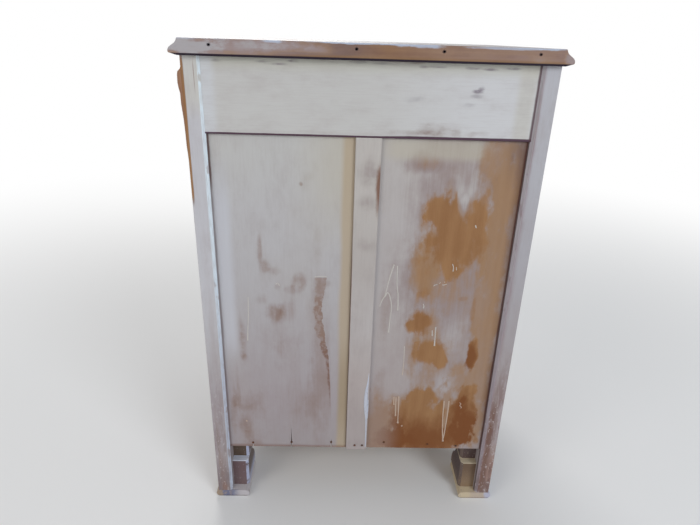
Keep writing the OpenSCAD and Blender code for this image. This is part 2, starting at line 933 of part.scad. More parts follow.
function mid_z(z) = (z[0] + z[1]) / 2;

module drawer_side(side) {
    root_y = drawer_end_y - drawer_side_t;
    color(inner_wood)
        placed()
            hand(side)
                difference() {
                    union() {
                        across(drawer_in_x, drawer_x)
                            polygon([
                                [front_back_y, drawer_z0], [drawer_end_y, drawer_z0],
                                [drawer_end_y, back_z[0]], [root_y, back_z[0]], [root_y, back_z[1]],
                                [drawer_end_y, back_z[1]], [drawer_end_y, drawer_z1],
                                [front_back_y, drawer_z1]]);
                        across(drawer_in_x, drawer_x)
                            tails(tails_front, front_back_y, front_y + lap, tail_z);
                        across(drawer_in_x, drawer_x)
                            tails(tails_back, root_y, drawer_end_y, back_z);
                    }
                    block([drawer_in_x - cut, drawer_in_x + drawer_side_t / 2], [front_y, cut],
                        [bottom_groove - glue_gap, bottom_groove + drawer_bottom_t + glue_gap]);
                }
}

module drawer_back() {
    root_y = drawer_end_y - drawer_side_t;
    color(inner_wood)
        placed()
            difference() {
                block([-drawer_x, drawer_x], [root_y, drawer_end_y],
                    [back_z[0] + glue_gap, back_z[1] - glue_gap]);
                for (side = [-1, 1])
                    hand(side)
                        across(drawer_in_x - glue_gap, drawer_x + cut)
                            tails(tails_back, root_y, drawer_end_y + cut, back_z, glue_gap);
                drawer_nail_places()
                    translate([0, 0, -cut])
                        cylinder(r = nail_r + glue_gap, h = bottom_nail_len + 2 * cut);
            }
}

module drawer_nail_places() {
    for (x = [-0.6, 0, 0.6])
        translate([x * drawer_in_x, drawer_end_y - drawer_side_t / 2, bottom_groove])
            children();
}

module drawer_bottom() {
    reach = drawer_in_x + drawer_side_t / 2 - glue_gap;
    color(inner_wood)
        placed()
            difference() {
                union() {
                    block([-reach, reach], [front_back_y, drawer_end_y],
                        [bottom_groove, bottom_groove + drawer_bottom_t]);
                    block([-drawer_in_x + glue_gap, drawer_in_x - glue_gap],
                        [front_back_y - housing + glue_gap, front_back_y + cut],
                        [bottom_groove, bottom_groove + drawer_bottom_t]);
                }
                drawer_nail_places()
                    translate([0, 0, -cut])
                        cylinder(r = nail_r + glue_gap, h = drawer_bottom_t + 2 * cut);
            }
}

module drawer_bottom_nails() {
    color(iron)
        placed()
            drawer_nail_places()
                union() {
                    cylinder(r = nail_r, h = bottom_nail_len);
                    translate([0, 0, -nail_head_t])
                        cylinder(r = nail_head_r, h = nail_head_t);
                }
}

// ---- knobs ----

// Turned knob: a foot, a hollow neck and a flattened bulb, with a socket of the given radius in its back
module turned_knob(socket_r) {
    bulb_z = knob_reach * 0.62;
    bulb_rise = knob_reach - bulb_z;
    bulb_in = knob_neck_r * 0.4;
    outline = concat(
        [[0, 0], [knob_foot_r, 0], [knob_foot_r, knob_foot_t]],
        arc([knob_foot_r, bulb_z / 2], knob_foot_r - knob_neck_r, -95, -180, 6),
        [for (a = [-50:20:90]) [bulb_in + (knob_r - bulb_in) * cos(a), bulb_z + bulb_rise * sin(a)]],
        [[0, knob_reach]]);
    rotate([90, 0, 0])
        difference() {
            rotate_extrude()
                polygon(outline);
            translate([0, 0, -cut])
                cylinder(r = socket_r, h = socket + cut);
        }
}

module drawer_knob() {
    color(paint)
        placed()
            translate([0, front_y, mid_z(front_z)])
                turned_knob(screw_r + glue_gap);
}

module drawer_knob_screw() {
    color(iron)
        placed()
            translate([0, 0, mid_z(front_z)])
                union() {
                    rod_back([0, front_y - socket + cut, 0], screw_r, drawer_front_t + socket);
                    rod_back([0, front_back_y, 0], screw_head_r + 1, knob_head_t);
                }
}

// ---- door ----

door_x = in_x - door_gap;                           // right edge of the door
door_z = [bottom_top + door_gap, door_open_top - door_gap];
stile_x = door_x - stile_w;                         // inner edge of the right stile
panel_z = [door_z[0] + door_bottom_w, door_z[1] - door_top_w];
door_mid_y = front_y + door_t / 2;
tongue_y = [door_mid_y - tongue_t / 2, door_mid_y + tongue_t / 2];
tenon_y = [door_mid_y - tenon_t / 2, door_mid_y + tenon_t / 2];
latch_x = door_x - stile_w / 2;
latch_z = door_z[0] + latch_up;
top_tenon_z = [panel_z[1] + tenon_in, door_z[1] - tenon_in];
bottom_tenon_z = [door_z[0] + tenon_in, panel_z[0] - tenon_in];

// Stile for the right of the door, grooved for the panel and mortised for both rails
module stile_blank() {
    difference() {
        board([stile_x, door_x], [front_y, front_y + door_t], door_z);
        block([stile_x - cut, stile_x + door_groove + glue_gap],
            [tongue_y[0] - glue_gap, tongue_y[1] + glue_gap],
            [panel_z[0] - door_groove, panel_z[1] + door_groove]);
        for (z = [top_tenon_z, bottom_tenon_z])
            block([stile_x - cut, stile_x + tenon_len + glue_gap],
                [tenon_y[0] - glue_gap, tenon_y[1] + glue_gap], [z[0] - glue_gap, z[1] + glue_gap]);
    }
}

module door_latch_stile() {
    color(paint)
        placed()
            difference() {
                stile_blank();
                rod_back([latch_x, front_y - cut, latch_z], spindle_r + spindle_gap, door_t + 2 * cut);
            }
}

module door_hinge_stile() {
    color(paint)
        placed()
            difference() {
                hand(-1)
                    stile_blank();
                for (z = hinge_z)
                    leaf_recess(1, z);
                hinge_screw_places(1)
                    cylinder(r = screw_r + glue_gap, h = screw_len + cut);
            }
}

// Rail of the door over the height z, its tenons over tenon_z, grooved at the edge that meets the panel
module door_rail(z, tenon_z, groove_z) {
    reach = stile_x + tenon_len;
    color(paint)
        placed()
            difference() {
                union() {
                    board([-stile_x, stile_x], [front_y, front_y + door_t], z);
                    block([-reach, reach], tenon_y, tenon_z);
                }
                block([-stile_x - cut, stile_x + cut],
                    [tongue_y[0] - glue_gap, tongue_y[1] + glue_gap], groove_z);
            }
}

module door_top_rail() {
    door_rail([panel_z[1], door_z[1]], top_tenon_z, [panel_z[1] - cut, panel_z[1] + door_groove + glue_gap]);
}

module door_bottom_rail() {
    door_rail([door_z[0], panel_z[0]], bottom_tenon_z,
        [panel_z[0] - door_groove - glue_gap, panel_z[0] + cut]);
}

// Outline of the raised panel across one of its widths: [position, depth], flat behind and fielded in front
function field_outline(lo, hi, flip) =
    let (
        edge = door_groove + bead_w + field_step,
        f = tongue_y[0],
        pts = [
            [lo, tongue_y[1]], [lo, f], [lo + edge, f], [lo + edge + bevel_w, f - field_rise + field_step],
            [lo + edge + bevel_w, f - field_rise], [hi - edge - bevel_w, f - field_rise],
            [hi - edge - bevel_w, f - field_rise + field_step], [hi - edge, f], [hi, f], [hi, tongue_y[1]]])
    [for (p = pts) flip ? [p[1], p[0]] : p];

module door_panel() {
    grip = door_groove - panel_gap;
    reach = stile_x + grip;
    z = [panel_z[0] - grip, panel_z[1] + grip];
    color(paint)
        placed()
            intersection() {
                upright(z[0], z[1])
                    polygon(field_outline(-reach, reach, false));
                across(-reach, reach)
                    polygon(field_outline(z[0], z[1], true));
            }
}

// Straight bead of a given half length against the frame, mitred at both ends; it runs along X
module bead(half) {
    f = tongue_y[0];
    r = min(bead_w, f - front_y) - 1.5 * bead_in;
    intersection() {
        across(-half, half)
            polygon(concat(
                [[f, 0], [front_y + bead_in, 0], [front_y + bead_in, bead_w - r]],
                arc([f, bead_w - r], r, 180, 90, 6)));
        along(front_y, 0)
            polygon([[-half, 0], [half, 0], [half - bead_w, bead_w], [-half + bead_w, bead_w]]);
    }
}

module door_beads() {
    half_w = stile_x;
    half_h = (panel_z[1] - panel_z[0]) / 2;
    color(paint)
        placed()
            translate([0, 0, mid_z(panel_z)])
                for (turn = [0, 90, 180, 270])
                    rotate([0, turn, 0])
                        translate([0, 0, turn % 180 == 0 ? -half_h : -half_w])
                            bead(turn % 180 == 0 ? half_w : half_h);
}

// ---- hinges ----

hinge_x = -in_x + door_gap / 2;                     // axis of the hinge pins
hinge_y = front_y - knuckle_r - fit;
hinge_z = [door_z[0] + hinge_in, door_z[1] - hinge_in];
leaf_back_y = front_y + leaf_w;

// Recess for a leaf in the edge of the door (1) or in the left side (-1)
module leaf_recess(way, z) {
    face = hinge_x + way * door_gap / 2;
    deep = face + way * (leaf_t + glue_gap);
    block([min(face - way * cut, deep), max(face - way * cut, deep)],
        [front_y - cut, leaf_back_y + glue_gap],
        [z - hinge_h / 2 - glue_gap, z + hinge_h / 2 + glue_gap]);
}

// Places of the screws in the leaves, looking along the screw from its head
module hinge_screw_places(way) {
    for (z = hinge_z, i = [-1:1])
        translate([
            hinge_x + way * door_gap / 2, front_y + leaf_w * (i == 0 ? 0.68 : 0.45), z + i * hinge_h / 3])
            rotate([0, way * 90, 0])
                children();
}

// One leaf with its knuckles: the side leaf (-1) has the outer and middle ones, the door leaf (1) the rest
module hinge_leaf(way, z) {
    pitch = hinge_h / knuckles;
    inner = hinge_x + way * door_gap / 2;
    outer = inner + way * leaf_t;
    first = way < 0 ? 0 : 1;
    difference() {
        union() {
            difference() {
                block([min(inner, outer), max(inner, outer)], [hinge_y, leaf_back_y],
                    [z - hinge_h / 2, z + hinge_h / 2]);
                for (k = [1 - first:2:knuckles - 1])
                    translate([hinge_x, hinge_y, z - hinge_h / 2 + k * pitch - knuckle_gap / 2])
                        cylinder(r = knuckle_r + fit, h = pitch + knuckle_gap);
            }
            for (k = [first:2:knuckles - 1])
                translate([hinge_x, hinge_y, z - hinge_h / 2 + k * pitch + knuckle_gap / 2])
                    cylinder(r = knuckle_r, h = pitch - knuckle_gap);
        }
        translate([hinge_x, hinge_y, z - hinge_h / 2 - cut])
            cylinder(r = pin_r + pin_gap, h = hinge_h + 2 * cut);
    }
}

module hinge_leaves(way) {
    color(brass)
        placed()
            difference() {
                for (z = hinge_z)
                    hinge_leaf(way, z);
                hinge_screw_places(way)
                    translate([0, 0, -hair])
                        cylinder(r1 = screw_head_r, r2 = screw_r + glue_gap, h = leaf_t + 2 * hair);
            }
}

module hinge_pins() {
    color(brass)
        placed()
            for (z = hinge_z)
                translate([hinge_x, hinge_y, z])
                    union() {
                        cylinder(r = pin_r, h = hinge_h + pin_cap, center = true);
                        for (end = [-1, 1])
                            translate([0, 0, end * (hinge_h + pin_cap) / 2])
                                cylinder(r = knuckle_r * 0.8, h = pin_cap, center = true);
                    }
}

// Countersunk screw whose head is flush with z = 0, pointing along +Z
module wood_screw() {
    union() {
        cylinder(r1 = screw_head_r - glue_gap, r2 = screw_r, h = leaf_t);
        cylinder(r = screw_r, h = screw_len);
    }
}

module hinge_screws(way) {
    color(brass)
        placed()
            hinge_screw_places(way)
                wood_screw();
}

// ---- latch ----

keeper_y = front_y + door_t + latch_gap;            // front face of the keeper's catch plate
tongue_y0 = keeper_y + keeper_t + latch_gap;        // front face of the tongue

module latch_knob() {
    color(paint)
        placed()
            translate([latch_x, front_y - latch_knob_gap, latch_z])
                turned_knob(spindle_r + glue_gap);
}

module latch_spindle() {
    back_face = front_y + door_t;
    color(brass)
        placed()
            translate([latch_x, 0, latch_z])
                union() {
                    rod_back([0, front_y - socket + cut, 0], spindle_r,
                        tongue_y0 + latch_t - front_y + socket - cut);
                    rod_back([0, back_face + fit, 0], spindle_r + collar_w, tongue_y0 - back_face - fit);
                    rod_back([0, tongue_y0 + latch_t, 0], spindle_r + collar_w / 2, rivet_t);
                }
}

// Tongue that hangs upright when the latch is free and turns outwards behind the keeper
module latch_tongue() {
    color(brass)
        placed()
            translate([latch_x, 0, latch_z])
                difference() {
                    along(tongue_y0, tongue_y0 + latch_t)
                        union() {
                            circle(r = tongue_w / 2 + 1);
                            translate([0, -tongue_len + tongue_w / 2])
                                circle(r = tongue_w / 2);
                            translate([-tongue_w / 2, -tongue_len + tongue_w / 2])
                                square([tongue_w, tongue_len - tongue_w / 2]);
                        }
                    rod_back([0, tongue_y0 - cut, 0], spindle_r + glue_gap, latch_t + 2 * cut);
                }
}

module latch_keeper() {
    color(brass)
        placed()
            difference() {
                union() {
                    block([in_x - keeper_reach, in_x], [keeper_y, keeper_y + keeper_t],
                        [latch_z - keeper_h / 2, latch_z + keeper_h / 2]);
                    block([in_x - keeper_t, in_x], [keeper_y, keeper_y + keeper_d],
                        [latch_z - keeper_h / 2, latch_z + keeper_h / 2]);
                }
                keeper_screw_places()
                    translate([0, 0, -keeper_t - hair])
                        cylinder(r1 = screw_head_r, r2 = screw_r + glue_gap, h = keeper_t + 2 * hair);
            }
}

module keeper_screw_places() {
    for (z = [-1, 1])
        translate([in_x, keeper_y + keeper_d - keeper_screw_in, latch_z + z * keeper_h * 0.3])
            rotate([0, 90, 0])
                children();
}

module keeper_screws() {
    color(brass)
        placed()
            keeper_screw_places()
                translate([0, 0, -keeper_t])
                    union() {
                        cylinder(r1 = screw_head_r - glue_gap, r2 = screw_r, h = keeper_t);
                        cylinder(r = screw_r, h = screw_len);
                    }
}

top_board();
side_right();
side_left();
side_split_strip();
bottom_board();
front_apron();
apron_glue_blocks();
front_block(1);  // front_block_right
front_block(-1);  // front_block_left
rear_foot_block(1);  // rear_foot_block_right
rear_foot_block(-1);  // rear_foot_block_left
pad_front(1);  // pad_front_right
pad_front(-1);  // pad_front_left
pad_rear(1);  // pad_rear_right
pad_rear(-1);  // pad_rear_left
back_rail();
back_muntin();
back_panel(1);  // back_panel_right
back_panel(-1);  // back_panel_left
front_top_rail();
drawer_rail();
runner(1);  // runner_right
runner(-1);  // runner_left
kicker(1);  // kicker_right
kicker(-1);  // kicker_left
dust_board();
drawer_stops();
door_stop();
shelf();
shelf_bearer(1);  // shelf_bearer_right
shelf_bearer(-1);  // shelf_bearer_left
drawer_front();
drawer_side(1);  // drawer_side_right
drawer_side(-1);  // drawer_side_left
drawer_back();
drawer_bottom();
drawer_knob();
drawer_knob_screw();
drawer_bottom_nails();
door_hinge_stile();
door_latch_stile();
door_top_rail();
door_bottom_rail();
door_panel();
door_beads();
hinge_leaves(-1);  // hinge_side_leaves
hinge_leaves(1);  // hinge_door_leaves
hinge_pins();
hinge_screws(-1);  // hinge_side_screws
hinge_screws(1);  // hinge_door_screws
latch_knob();
latch_spindle();
latch_tongue();
latch_keeper();
keeper_screws();
back_nails();
top_screws();
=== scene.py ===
"""Looks of a bedside pot cupboard, seen from behind: worn white paint over orange-brown wood.

The finishes work in millimetres in the cupboard's own frame. Meshes, lamps and camera are in metres."""

import math

import bpy
from mathutils import Matrix, Vector


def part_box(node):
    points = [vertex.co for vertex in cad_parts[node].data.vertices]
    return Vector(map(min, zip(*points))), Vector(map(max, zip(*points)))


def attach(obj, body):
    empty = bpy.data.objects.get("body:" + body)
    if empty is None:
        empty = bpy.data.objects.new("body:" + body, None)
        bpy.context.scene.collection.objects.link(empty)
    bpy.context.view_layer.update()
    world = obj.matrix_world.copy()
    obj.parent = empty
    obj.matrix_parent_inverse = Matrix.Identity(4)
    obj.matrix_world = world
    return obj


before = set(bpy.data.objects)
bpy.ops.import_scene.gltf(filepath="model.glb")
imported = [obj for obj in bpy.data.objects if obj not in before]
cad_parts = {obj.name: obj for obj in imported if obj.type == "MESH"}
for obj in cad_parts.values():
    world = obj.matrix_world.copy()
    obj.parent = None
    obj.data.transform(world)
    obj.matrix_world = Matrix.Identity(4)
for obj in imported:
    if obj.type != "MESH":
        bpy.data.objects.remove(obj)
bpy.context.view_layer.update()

MM = 0.001


def box_mm(node):
    """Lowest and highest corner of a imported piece, in millimetres."""
    return [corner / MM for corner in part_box(node)]


# ---- places on the cupboard, in millimetres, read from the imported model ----

SIDE_LOW, SIDE_HIGH = box_mm("side_right")
INNER, OUTER = SIDE_LOW.x, SIDE_HIGH.x  # the two faces of the right side
FRONT, BACK = SIDE_LOW.y, SIDE_HIGH.y  # its front edge and its back edge
PANEL_LOW, PANEL_HIGH = box_mm("back_panel_right")
PANEL_FOOT = PANEL_LOW.z  # lower edge of the back
INSIDE_BACK, PANEL_FACE = PANEL_LOW.y, PANEL_HIGH.y
INSIDE_FRONT = box_mm("drawer_front")[1].y
RAIL_FOOT = box_mm("back_rail")[0].z  # lower edge of the back rail
MUNTIN_SIDE, MUNTIN_FACE = box_mm("back_muntin")[1].xy
TOP_LOW, TOP_HIGH = box_mm("top_board")

# ---- colours, linear, as they look in plain light ----

# Old white paint goes from white at the top to lilac grey at the floor, darker low down partly from dirt and
# partly as painted shade where the light falls off: height, colour.
PAINT_TONES = [(110, (0.34, 0.304, 0.318)), (200, (0.362, 0.323, 0.34)), (400, (0.428, 0.411, 0.424)),
               (530, (0.47, 0.46, 0.468)), (620, (0.486, 0.48, 0.47))]
PAINT_WARM = (0.42, 0.365, 0.3)
PAINT_THIN = (0.3, 0.242, 0.236)
WINDOW_LIGHT_BLUE = (0.52, 0.57, 0.68)  # painted highlight: bluish window light on the arrises
SMUDGE = (0.215, 0.155, 0.15)
BROWN_STAIN = (0.23, 0.145, 0.112)
RED_BROWN = (0.175, 0.078, 0.045)
WOOD_LIGHT = (0.325, 0.172, 0.076)
WOOD = (0.262, 0.128, 0.052)
WOOD_WASH = (0.325, 0.205, 0.122)
WOOD_DEEP = (0.18, 0.06, 0.015)
STRIP_LIGHT = (0.33, 0.18, 0.11)  # the strip sprung off the side
STRIP_DARK = (0.23, 0.118, 0.068)
PINE = (0.36, 0.235, 0.125)
PINE_DARK = (0.235, 0.132, 0.06)
# dark grime, and also painted shade where it is laid in corners, recesses and under the rail
GRIME_AND_SHADE = (0.06, 0.034, 0.03)
SHADOW_DIRT = (0.008, 0.002, 0.01)
BRASS = (0.42, 0.29, 0.12)
BRASS_DULL = (0.15, 0.095, 0.045)
IRON = (0.05, 0.038, 0.034)
RUST = (0.14, 0.052, 0.022)
SKY = (0.93, 0.96, 1.0)
WHITE = (1.0, 1.0, 1.0)
BLACK = (0.0, 0.0, 0.0)
FLOOR_GREY = (0.82, 0.82, 0.82)

ALONG = {"x": (0.06, 1, 1), "y": (1, 0.06, 1), "z": (1, 1, 0.06)}  # noise drawn out along a grain
PITH = {"x": (0, 0.035, 0.13), "y": (0.13, 0, 0.035), "z": (0.13, 0.035, 0)}  # metres to the tree's middle
RING = 0.0052  # metres between growth rings


class Nodes:
    """Writes a node tree: each call adds nodes and returns the socket that carries the result."""

    def __init__(self, tree):
        self.tree = tree

    def node(self, kind, inputs=None, **settings):
        """Adds a node, links or sets its inputs by name or number, and returns its outputs."""
        made = self.tree.nodes.new(kind)
        for name, value in settings.items():
            setattr(made, name, value)
        for key, value in (inputs or {}).items():
            socket = made.inputs[key]
            if isinstance(value, bpy.types.NodeSocket):
                self.tree.links.new(value, socket)
            else:
                socket.default_value = (*value, 1.0) if socket.type == "RGBA" else value
        return made.outputs

    def calc(self, operation, *terms):
        """The result of one operation on numbers."""
        return self.node("ShaderNodeMath", dict(enumerate(terms)), operation=operation)[0]

    def add(self, a, b):
        return self.calc("ADD", a, b)

    def less(self, a, b):
        return self.calc("SUBTRACT", a, b)

    def most(self, a, b):
        return self.calc("MAXIMUM", a, b)

    def least(self, a, b):
        return self.calc("MINIMUM", a, b)

    def size(self, a):
        return self.calc("ABSOLUTE", a)

    def times(self, first, *others):
        for other in others:
            first = self.calc("MULTIPLY", first, other)
        return first

    def sum(self, base, *parts):
        """A base number with parts added: each part is (number, weight)."""
        for number, weight in parts:
            base = self.calc("MULTIPLY_ADD", number, weight, base)
        return base

    def ease(self, value, start, end, first=0.0, last=1.0):
        """Goes from first to last while the value goes, up or down, from start to end."""
        if start > end:
            start, end, first, last = end, start, last, first
        limits = dict(enumerate((value, start, end, first, last)))
        return self.node("ShaderNodeMapRange", limits, interpolation_type="SMOOTHSTEP")[0]

    def strip(self, value, low, high, soft):
        """1 between low and high, 0 outside."""
        above = self.ease(value, low - soft, low + soft)
        return self.times(above, self.ease(value, high + soft, high - soft))

    def mix(self, a, b, share, strength=1.0):
        """Colour a, with b over it where the share is 1, as far as the strength goes."""
        if strength != 1.0:
            share = self.times(share, strength)
        return self.node("ShaderNodeMix", {"Factor": share, 6: a, 7: b}, data_type="RGBA")[2]


class Finish(Nodes):
    """A material made in layers: colour, relief and roughness are what has been laid on so far."""

    def __init__(self, name, grain="z", seed=0, metallic=0.0, specular=0.3):
        self.material = bpy.data.materials.new(name)
        self.material.use_nodes = True
        super().__init__(self.material.node_tree)
        self.tree.nodes.clear()
        self.grain = grain
        self.seed = seed
        self.surface = {"Metallic": metallic, "Specular IOR Level": specular}
        self.colour = WHITE
        self.relief = None
        self.roughness = 0.6
        self.place = self.node("ShaderNodeTexCoord")["Object"]
        in_mm = self.node("ShaderNodeVectorMath", {0: self.place, "Scale": 1 / MM}, operation="SCALE")[0]
        self.x, self.y, self.z = self.node("ShaderNodeSeparateXYZ", {0: in_mm})

    def lay(self, tone, share, strength=1.0):
        """Puts a tone over the colour so far, where the share is 1, as far as the strength goes."""
        self.colour = self.mix(self.colour, tone, share, strength)

    def along(self, scale):
        """A scale of noise that is drawn out along the grain."""
        return [scale * share for share in ALONG[self.grain]]

    def noise(self, scale, detail, seed, roughness=0.55):
        """Noise from 0 to 1. The scale is in waves a metre: one number, or one for each axis."""
        scales = scale if isinstance(scale, (tuple, list)) else (scale, scale, scale)
        shift = (seed * 3.7, seed * 1.3, seed * 2.1)
        vector = self.node("ShaderNodeMapping", {"Vector": self.place, "Scale": scales, "Location": shift})[0]
        settings = {"Vector": vector, "Scale": 1.0, "Detail": detail, "Roughness": roughness}
        return self.node("ShaderNodeTexNoise", settings)[0]

    def patches(self, low, high, *noise):
        """Share of the patches that a noise makes: 0 where it is under low, 1 where it is over high."""
        return self.ease(self.noise(*noise), low, high)

    def stray(self, spread, *noise, middle=0.5):
        """A ragged number about zero: how far a noise is from its middle, times a spread."""
        return self.times(self.less(self.noise(*noise), middle), spread)

    def ramp(self, value, stops):
        """Colour read along a scale from 0 to 1: each stop is (place, colour)."""
        read = self.node("ShaderNodeValToRGB", {0: value})[0]
        marks = read.node.color_ramp.elements
        while len(marks) < len(stops):
            marks.new(0.5)
        for mark, (place, colour) in zip(marks, stops):
            mark.position = place
            mark.color = (*colour, 1.0)
        return read

    def by_height(self, stops):
        """Colour that changes with height: each stop is (height, colour)."""
        return self.ramp(self.times(self.z, MM), [(height * MM, colour) for height, colour in stops])

    def path(self, stops):
        """A length that changes with height: each stop is (height, length)."""
        longest = max(length for _, length in stops)
        shares = [(height, [length / longest] * 3) for height, length in stops]
        return self.times(self.by_height(shares), longest)

    def edge_distance(self, low, high):
        """Distance from the nearest arris of a board that fills the box from low to high."""
        gaps = [self.less((b - a) / 2, self.size(self.less(value, (a + b) / 2)))
                for value, a, b in zip((self.x, self.y, self.z), low, high)]
        nearer = self.least(gaps[0], gaps[1])
        farther = self.most(gaps[0], gaps[1])
        return self.most(nearer, self.least(farther, gaps[2]))

    def spots(self, base, places, wobble=None):
        """A base number with spots added. The wobble makes their edges ragged."""
        for x, z, half_w, half_h, amount, edge in places:
            given = {"X": self.x, "Z": self.z, "Wobble": self.wobble if wobble is None else wobble,
                     "Middle X": x, "Middle Z": z, "Half width": half_w, "Half height": half_h, "Edge": edge}
            base = self.sum(base, (self.node("ShaderNodeGroup", given, node_tree=spot_group())[0], amount))
        return base

    def marks(self, places):
        """Share of a tone that lies where the spots say."""
        return self.least(self.spots(0.0, places), 1.0)

    def done(self):
        """Joins the layers to the shader and returns the material."""
        inputs = {"Base Color": self.colour, "Roughness": self.roughness, **self.surface}
        if self.relief is not None:
            inputs["Normal"] = self.node("ShaderNodeBump", {"Height": self.relief, "Distance": MM})[0]
        shader = self.node("ShaderNodeBsdfPrincipled", inputs)[0]
        self.node("ShaderNodeOutputMaterial", {"Surface": shader})
        return self.material


def spot_group():
    """Node group of one spot: 1 in its middle, 0 outside, with an edge that a noise makes ragged."""
    name = "ragged spot"
    if name in bpy.data.node_groups:
        return bpy.data.node_groups[name]
    tree = bpy.data.node_groups.new(name, "ShaderNodeTree")
    for socket in ("X", "Z", "Wobble", "Middle X", "Middle Z", "Half width", "Half height", "Edge"):
        tree.interface.new_socket(socket, in_out="INPUT", socket_type="NodeSocketFloat")
    tree.interface.new_socket("Share", in_out="OUTPUT", socket_type="NodeSocketFloat")
    n = Nodes(tree)
    given = n.node("NodeGroupInput")
    across = n.calc("DIVIDE", n.less(given["X"], given["Middle X"]), given["Half width"])
    up = n.calc("DIVIDE", n.less(given["Z"], given["Middle Z"]), given["Half height"])
    far = n.calc("SQRT", n.sum(n.times(up, up), (across, across)))
    past = n.calc("DIVIDE", n.less(n.add(far, given["Wobble"]), 1.0), given["Edge"])
    n.node("NodeGroupOutput", {"Share": n.ease(past, 1.0, -1.0)})
    return tree


# ---- wood, paint and metal ----

def wood(f, light, dark, seed):
    """Colour, relief and fibres of bare wood: rings about a pith, fibres and short pores along the grain."""
    squeeze = [share if share == 1 else 0.02 for share in ALONG[f.grain]]
    sway = f.node("ShaderNodeMapping", {"Vector": f.place, "Scale": squeeze, "Location": PITH[f.grain]})[0]
    radius = f.node("ShaderNodeVectorMath", {0: sway}, operation="LENGTH")["Value"]
    bent = f.sum(radius, (f.noise(f.along(6), 3, seed), 0.06))
    rings = f.ease(f.calc("SINE", f.times(bent, 2 * math.pi / RING)), -1.0, 1.0)
    fibres = f.noise(f.along(650), 3, seed + 5)
    streaks = f.noise(f.along(90), 4, seed + 9)
    pores = f.patches(0.64, 0.74, f.along(1500), 2, seed + 13)
    blotches = f.noise((38, 38, 22), 5, seed + 17, 0.62)
    tone = f.sum(0.0, (rings, 0.14), (fibres, 0.3), (streaks, 0.4), (blotches, 0.42))
    colour = f.mix(light, dark, f.ease(tone, 0.36, 0.9))
    colour = f.mix(colour, [0.55 * value for value in dark], pores, 0.3)
    return colour, f.sum(0.0, (fibres, -0.06), (rings, -0.03)), fibres


def label(kind, node):
    """Name of a node's material."""
    return f"{kind}, {node.replace('_', ' ')}"


def on_wood(name, grain, seed, light=WOOD_LIGHT, dark=WOOD, roughness=0.6):
    """A finish that starts as bare wood."""
    f = Finish(name, grain, seed)
    f.colour, f.relief, f.fibres = wood(f, light, dark, seed)
    f.roughness = roughness
    return f


def raw_wood(f, share, shift):
    """Leaves a face that looks into the cupboard as unpainted pine."""
    f.lay(wood(f, PINE, PINE_DARK, f.seed + shift)[0], share)


def paint_tint(f):
    """Full paint colour at each height, with painted shade low down, a little warmer here and there."""
    return f.mix(f.by_height(PAINT_TONES), PAINT_WARM, f.patches(0.42, 0.72, (9, 9, 5), 3, 77), 0.14)


def paint(f, cover, full, thin=PAINT_THIN):
    """Paints the wood. Cover runs from 0, bare, through 0.5, a thin wash, to 1, full paint."""
    brush = f.noise(f.along(210), 3, f.seed + 33)
    cover = f.sum(cover, (f.stray(0.42, 16, 5, f.seed + 21, 0.62), 1.0), (f.less(brush, 0.5), 0.26),
                  (f.less(f.fibres, 0.5), 0.1))
    wash = f.ease(cover, 0.2, 0.56)
    film = f.ease(cover, 0.46, 0.9)
    f.lay(WOOD_WASH, f.ease(cover, 0.02, 0.34), 0.55)
    f.lay(thin, wash)
    mottle = f.patches(0.44, 0.76, [46 * share ** 0.3 for share in ALONG[f.grain]], 6, f.seed + 44, 0.68)
    strokes = f.patches(0.4, 0.75, f.along(480), 4, f.seed + 46, 0.6)
    worn = f.mix(full, thin, 0.55)
    full = f.mix(full, worn, mottle, 0.42)
    f.lay(f.mix(full, worn, strokes, 0.22), film)
    f.relief = f.sum(f.times(f.relief, 0.8), (wash, 0.06), (film, 0.1), (brush, 0.07))
    f.roughness = f.sum(0.68, (film, -0.14))


def arris_wear(f, low, high, seed, middle=0.47, spread=13, depth=1.6):
    """Share of the wear along a board's arrises, which reaches in further at some places than at others."""
    reach = f.stray(spread, 26, 5, seed, 0.68, middle=middle)
    return f.ease(f.less(f.edge_distance(low, high), reach), 0.5, -depth)


def worn_paint(node, grain, seed, bare_behind):
    """Finish of a painted board or knob: worn along its arrises, with bare patches and smudges by chance."""
    f = on_wood(label("paint", node), grain, seed)
    low, high = box_mm(node)
    cover = f.sum(0.88, (f.patches(0.54, 0.74, (9, 9, 6), 5, seed + 40, 0.6), -0.4),
                  (arris_wear(f, low, high, seed + 50), -0.7))
    if "knob" in node:
        cover = f.sum(cover, (f.ease(f.y, low.y + 7, low.y), -0.42))
    paint(f, cover, paint_tint(f))
    f.lay(BROWN_STAIN, f.patches(0.58, 0.78, (16, 16, 12), 5, seed + 60, 0.62), 0.24)
    if bare_behind:
        raw_wood(f, f.ease(f.y, INSIDE_FRONT - 0.4, INSIDE_FRONT - 0.1), 2)
    return f.done()


def raw_pine(node, grain, seed):
    """Unpainted wood inside the cupboard, with dust and handling marks."""
    f = on_wood(label("raw wood", node), grain, seed, PINE, PINE_DARK, 0.72)
    f.lay(GRIME_AND_SHADE, f.patches(0.5, 0.8, 14, 4, seed + 70), 0.45)
    return f.done()


def aged_metal(name, bright, dull, seed, metallic):
    """Brass or iron, bright in places and dull where it has tarnished."""
    f = Finish(name, metallic=metallic, specular=0.5)
    tarnish = f.patches(0.35, 0.68, 160, 4, seed)
    f.colour = f.mix(bright, dull, tarnish)
    f.relief = f.times(f.noise(900, 3, seed + 4), 0.04)
    f.roughness = f.sum(0.36, (tarnish, 0.25))
    return f.done()


# ---- the back, as the photograph shows it ----
# Each spot is [x, z, half width, half height, what it adds, edge]. The edge runs from 0.3, crisp,
# to 0.8, a haze. Left and right are the cupboard's own, seen from its front.

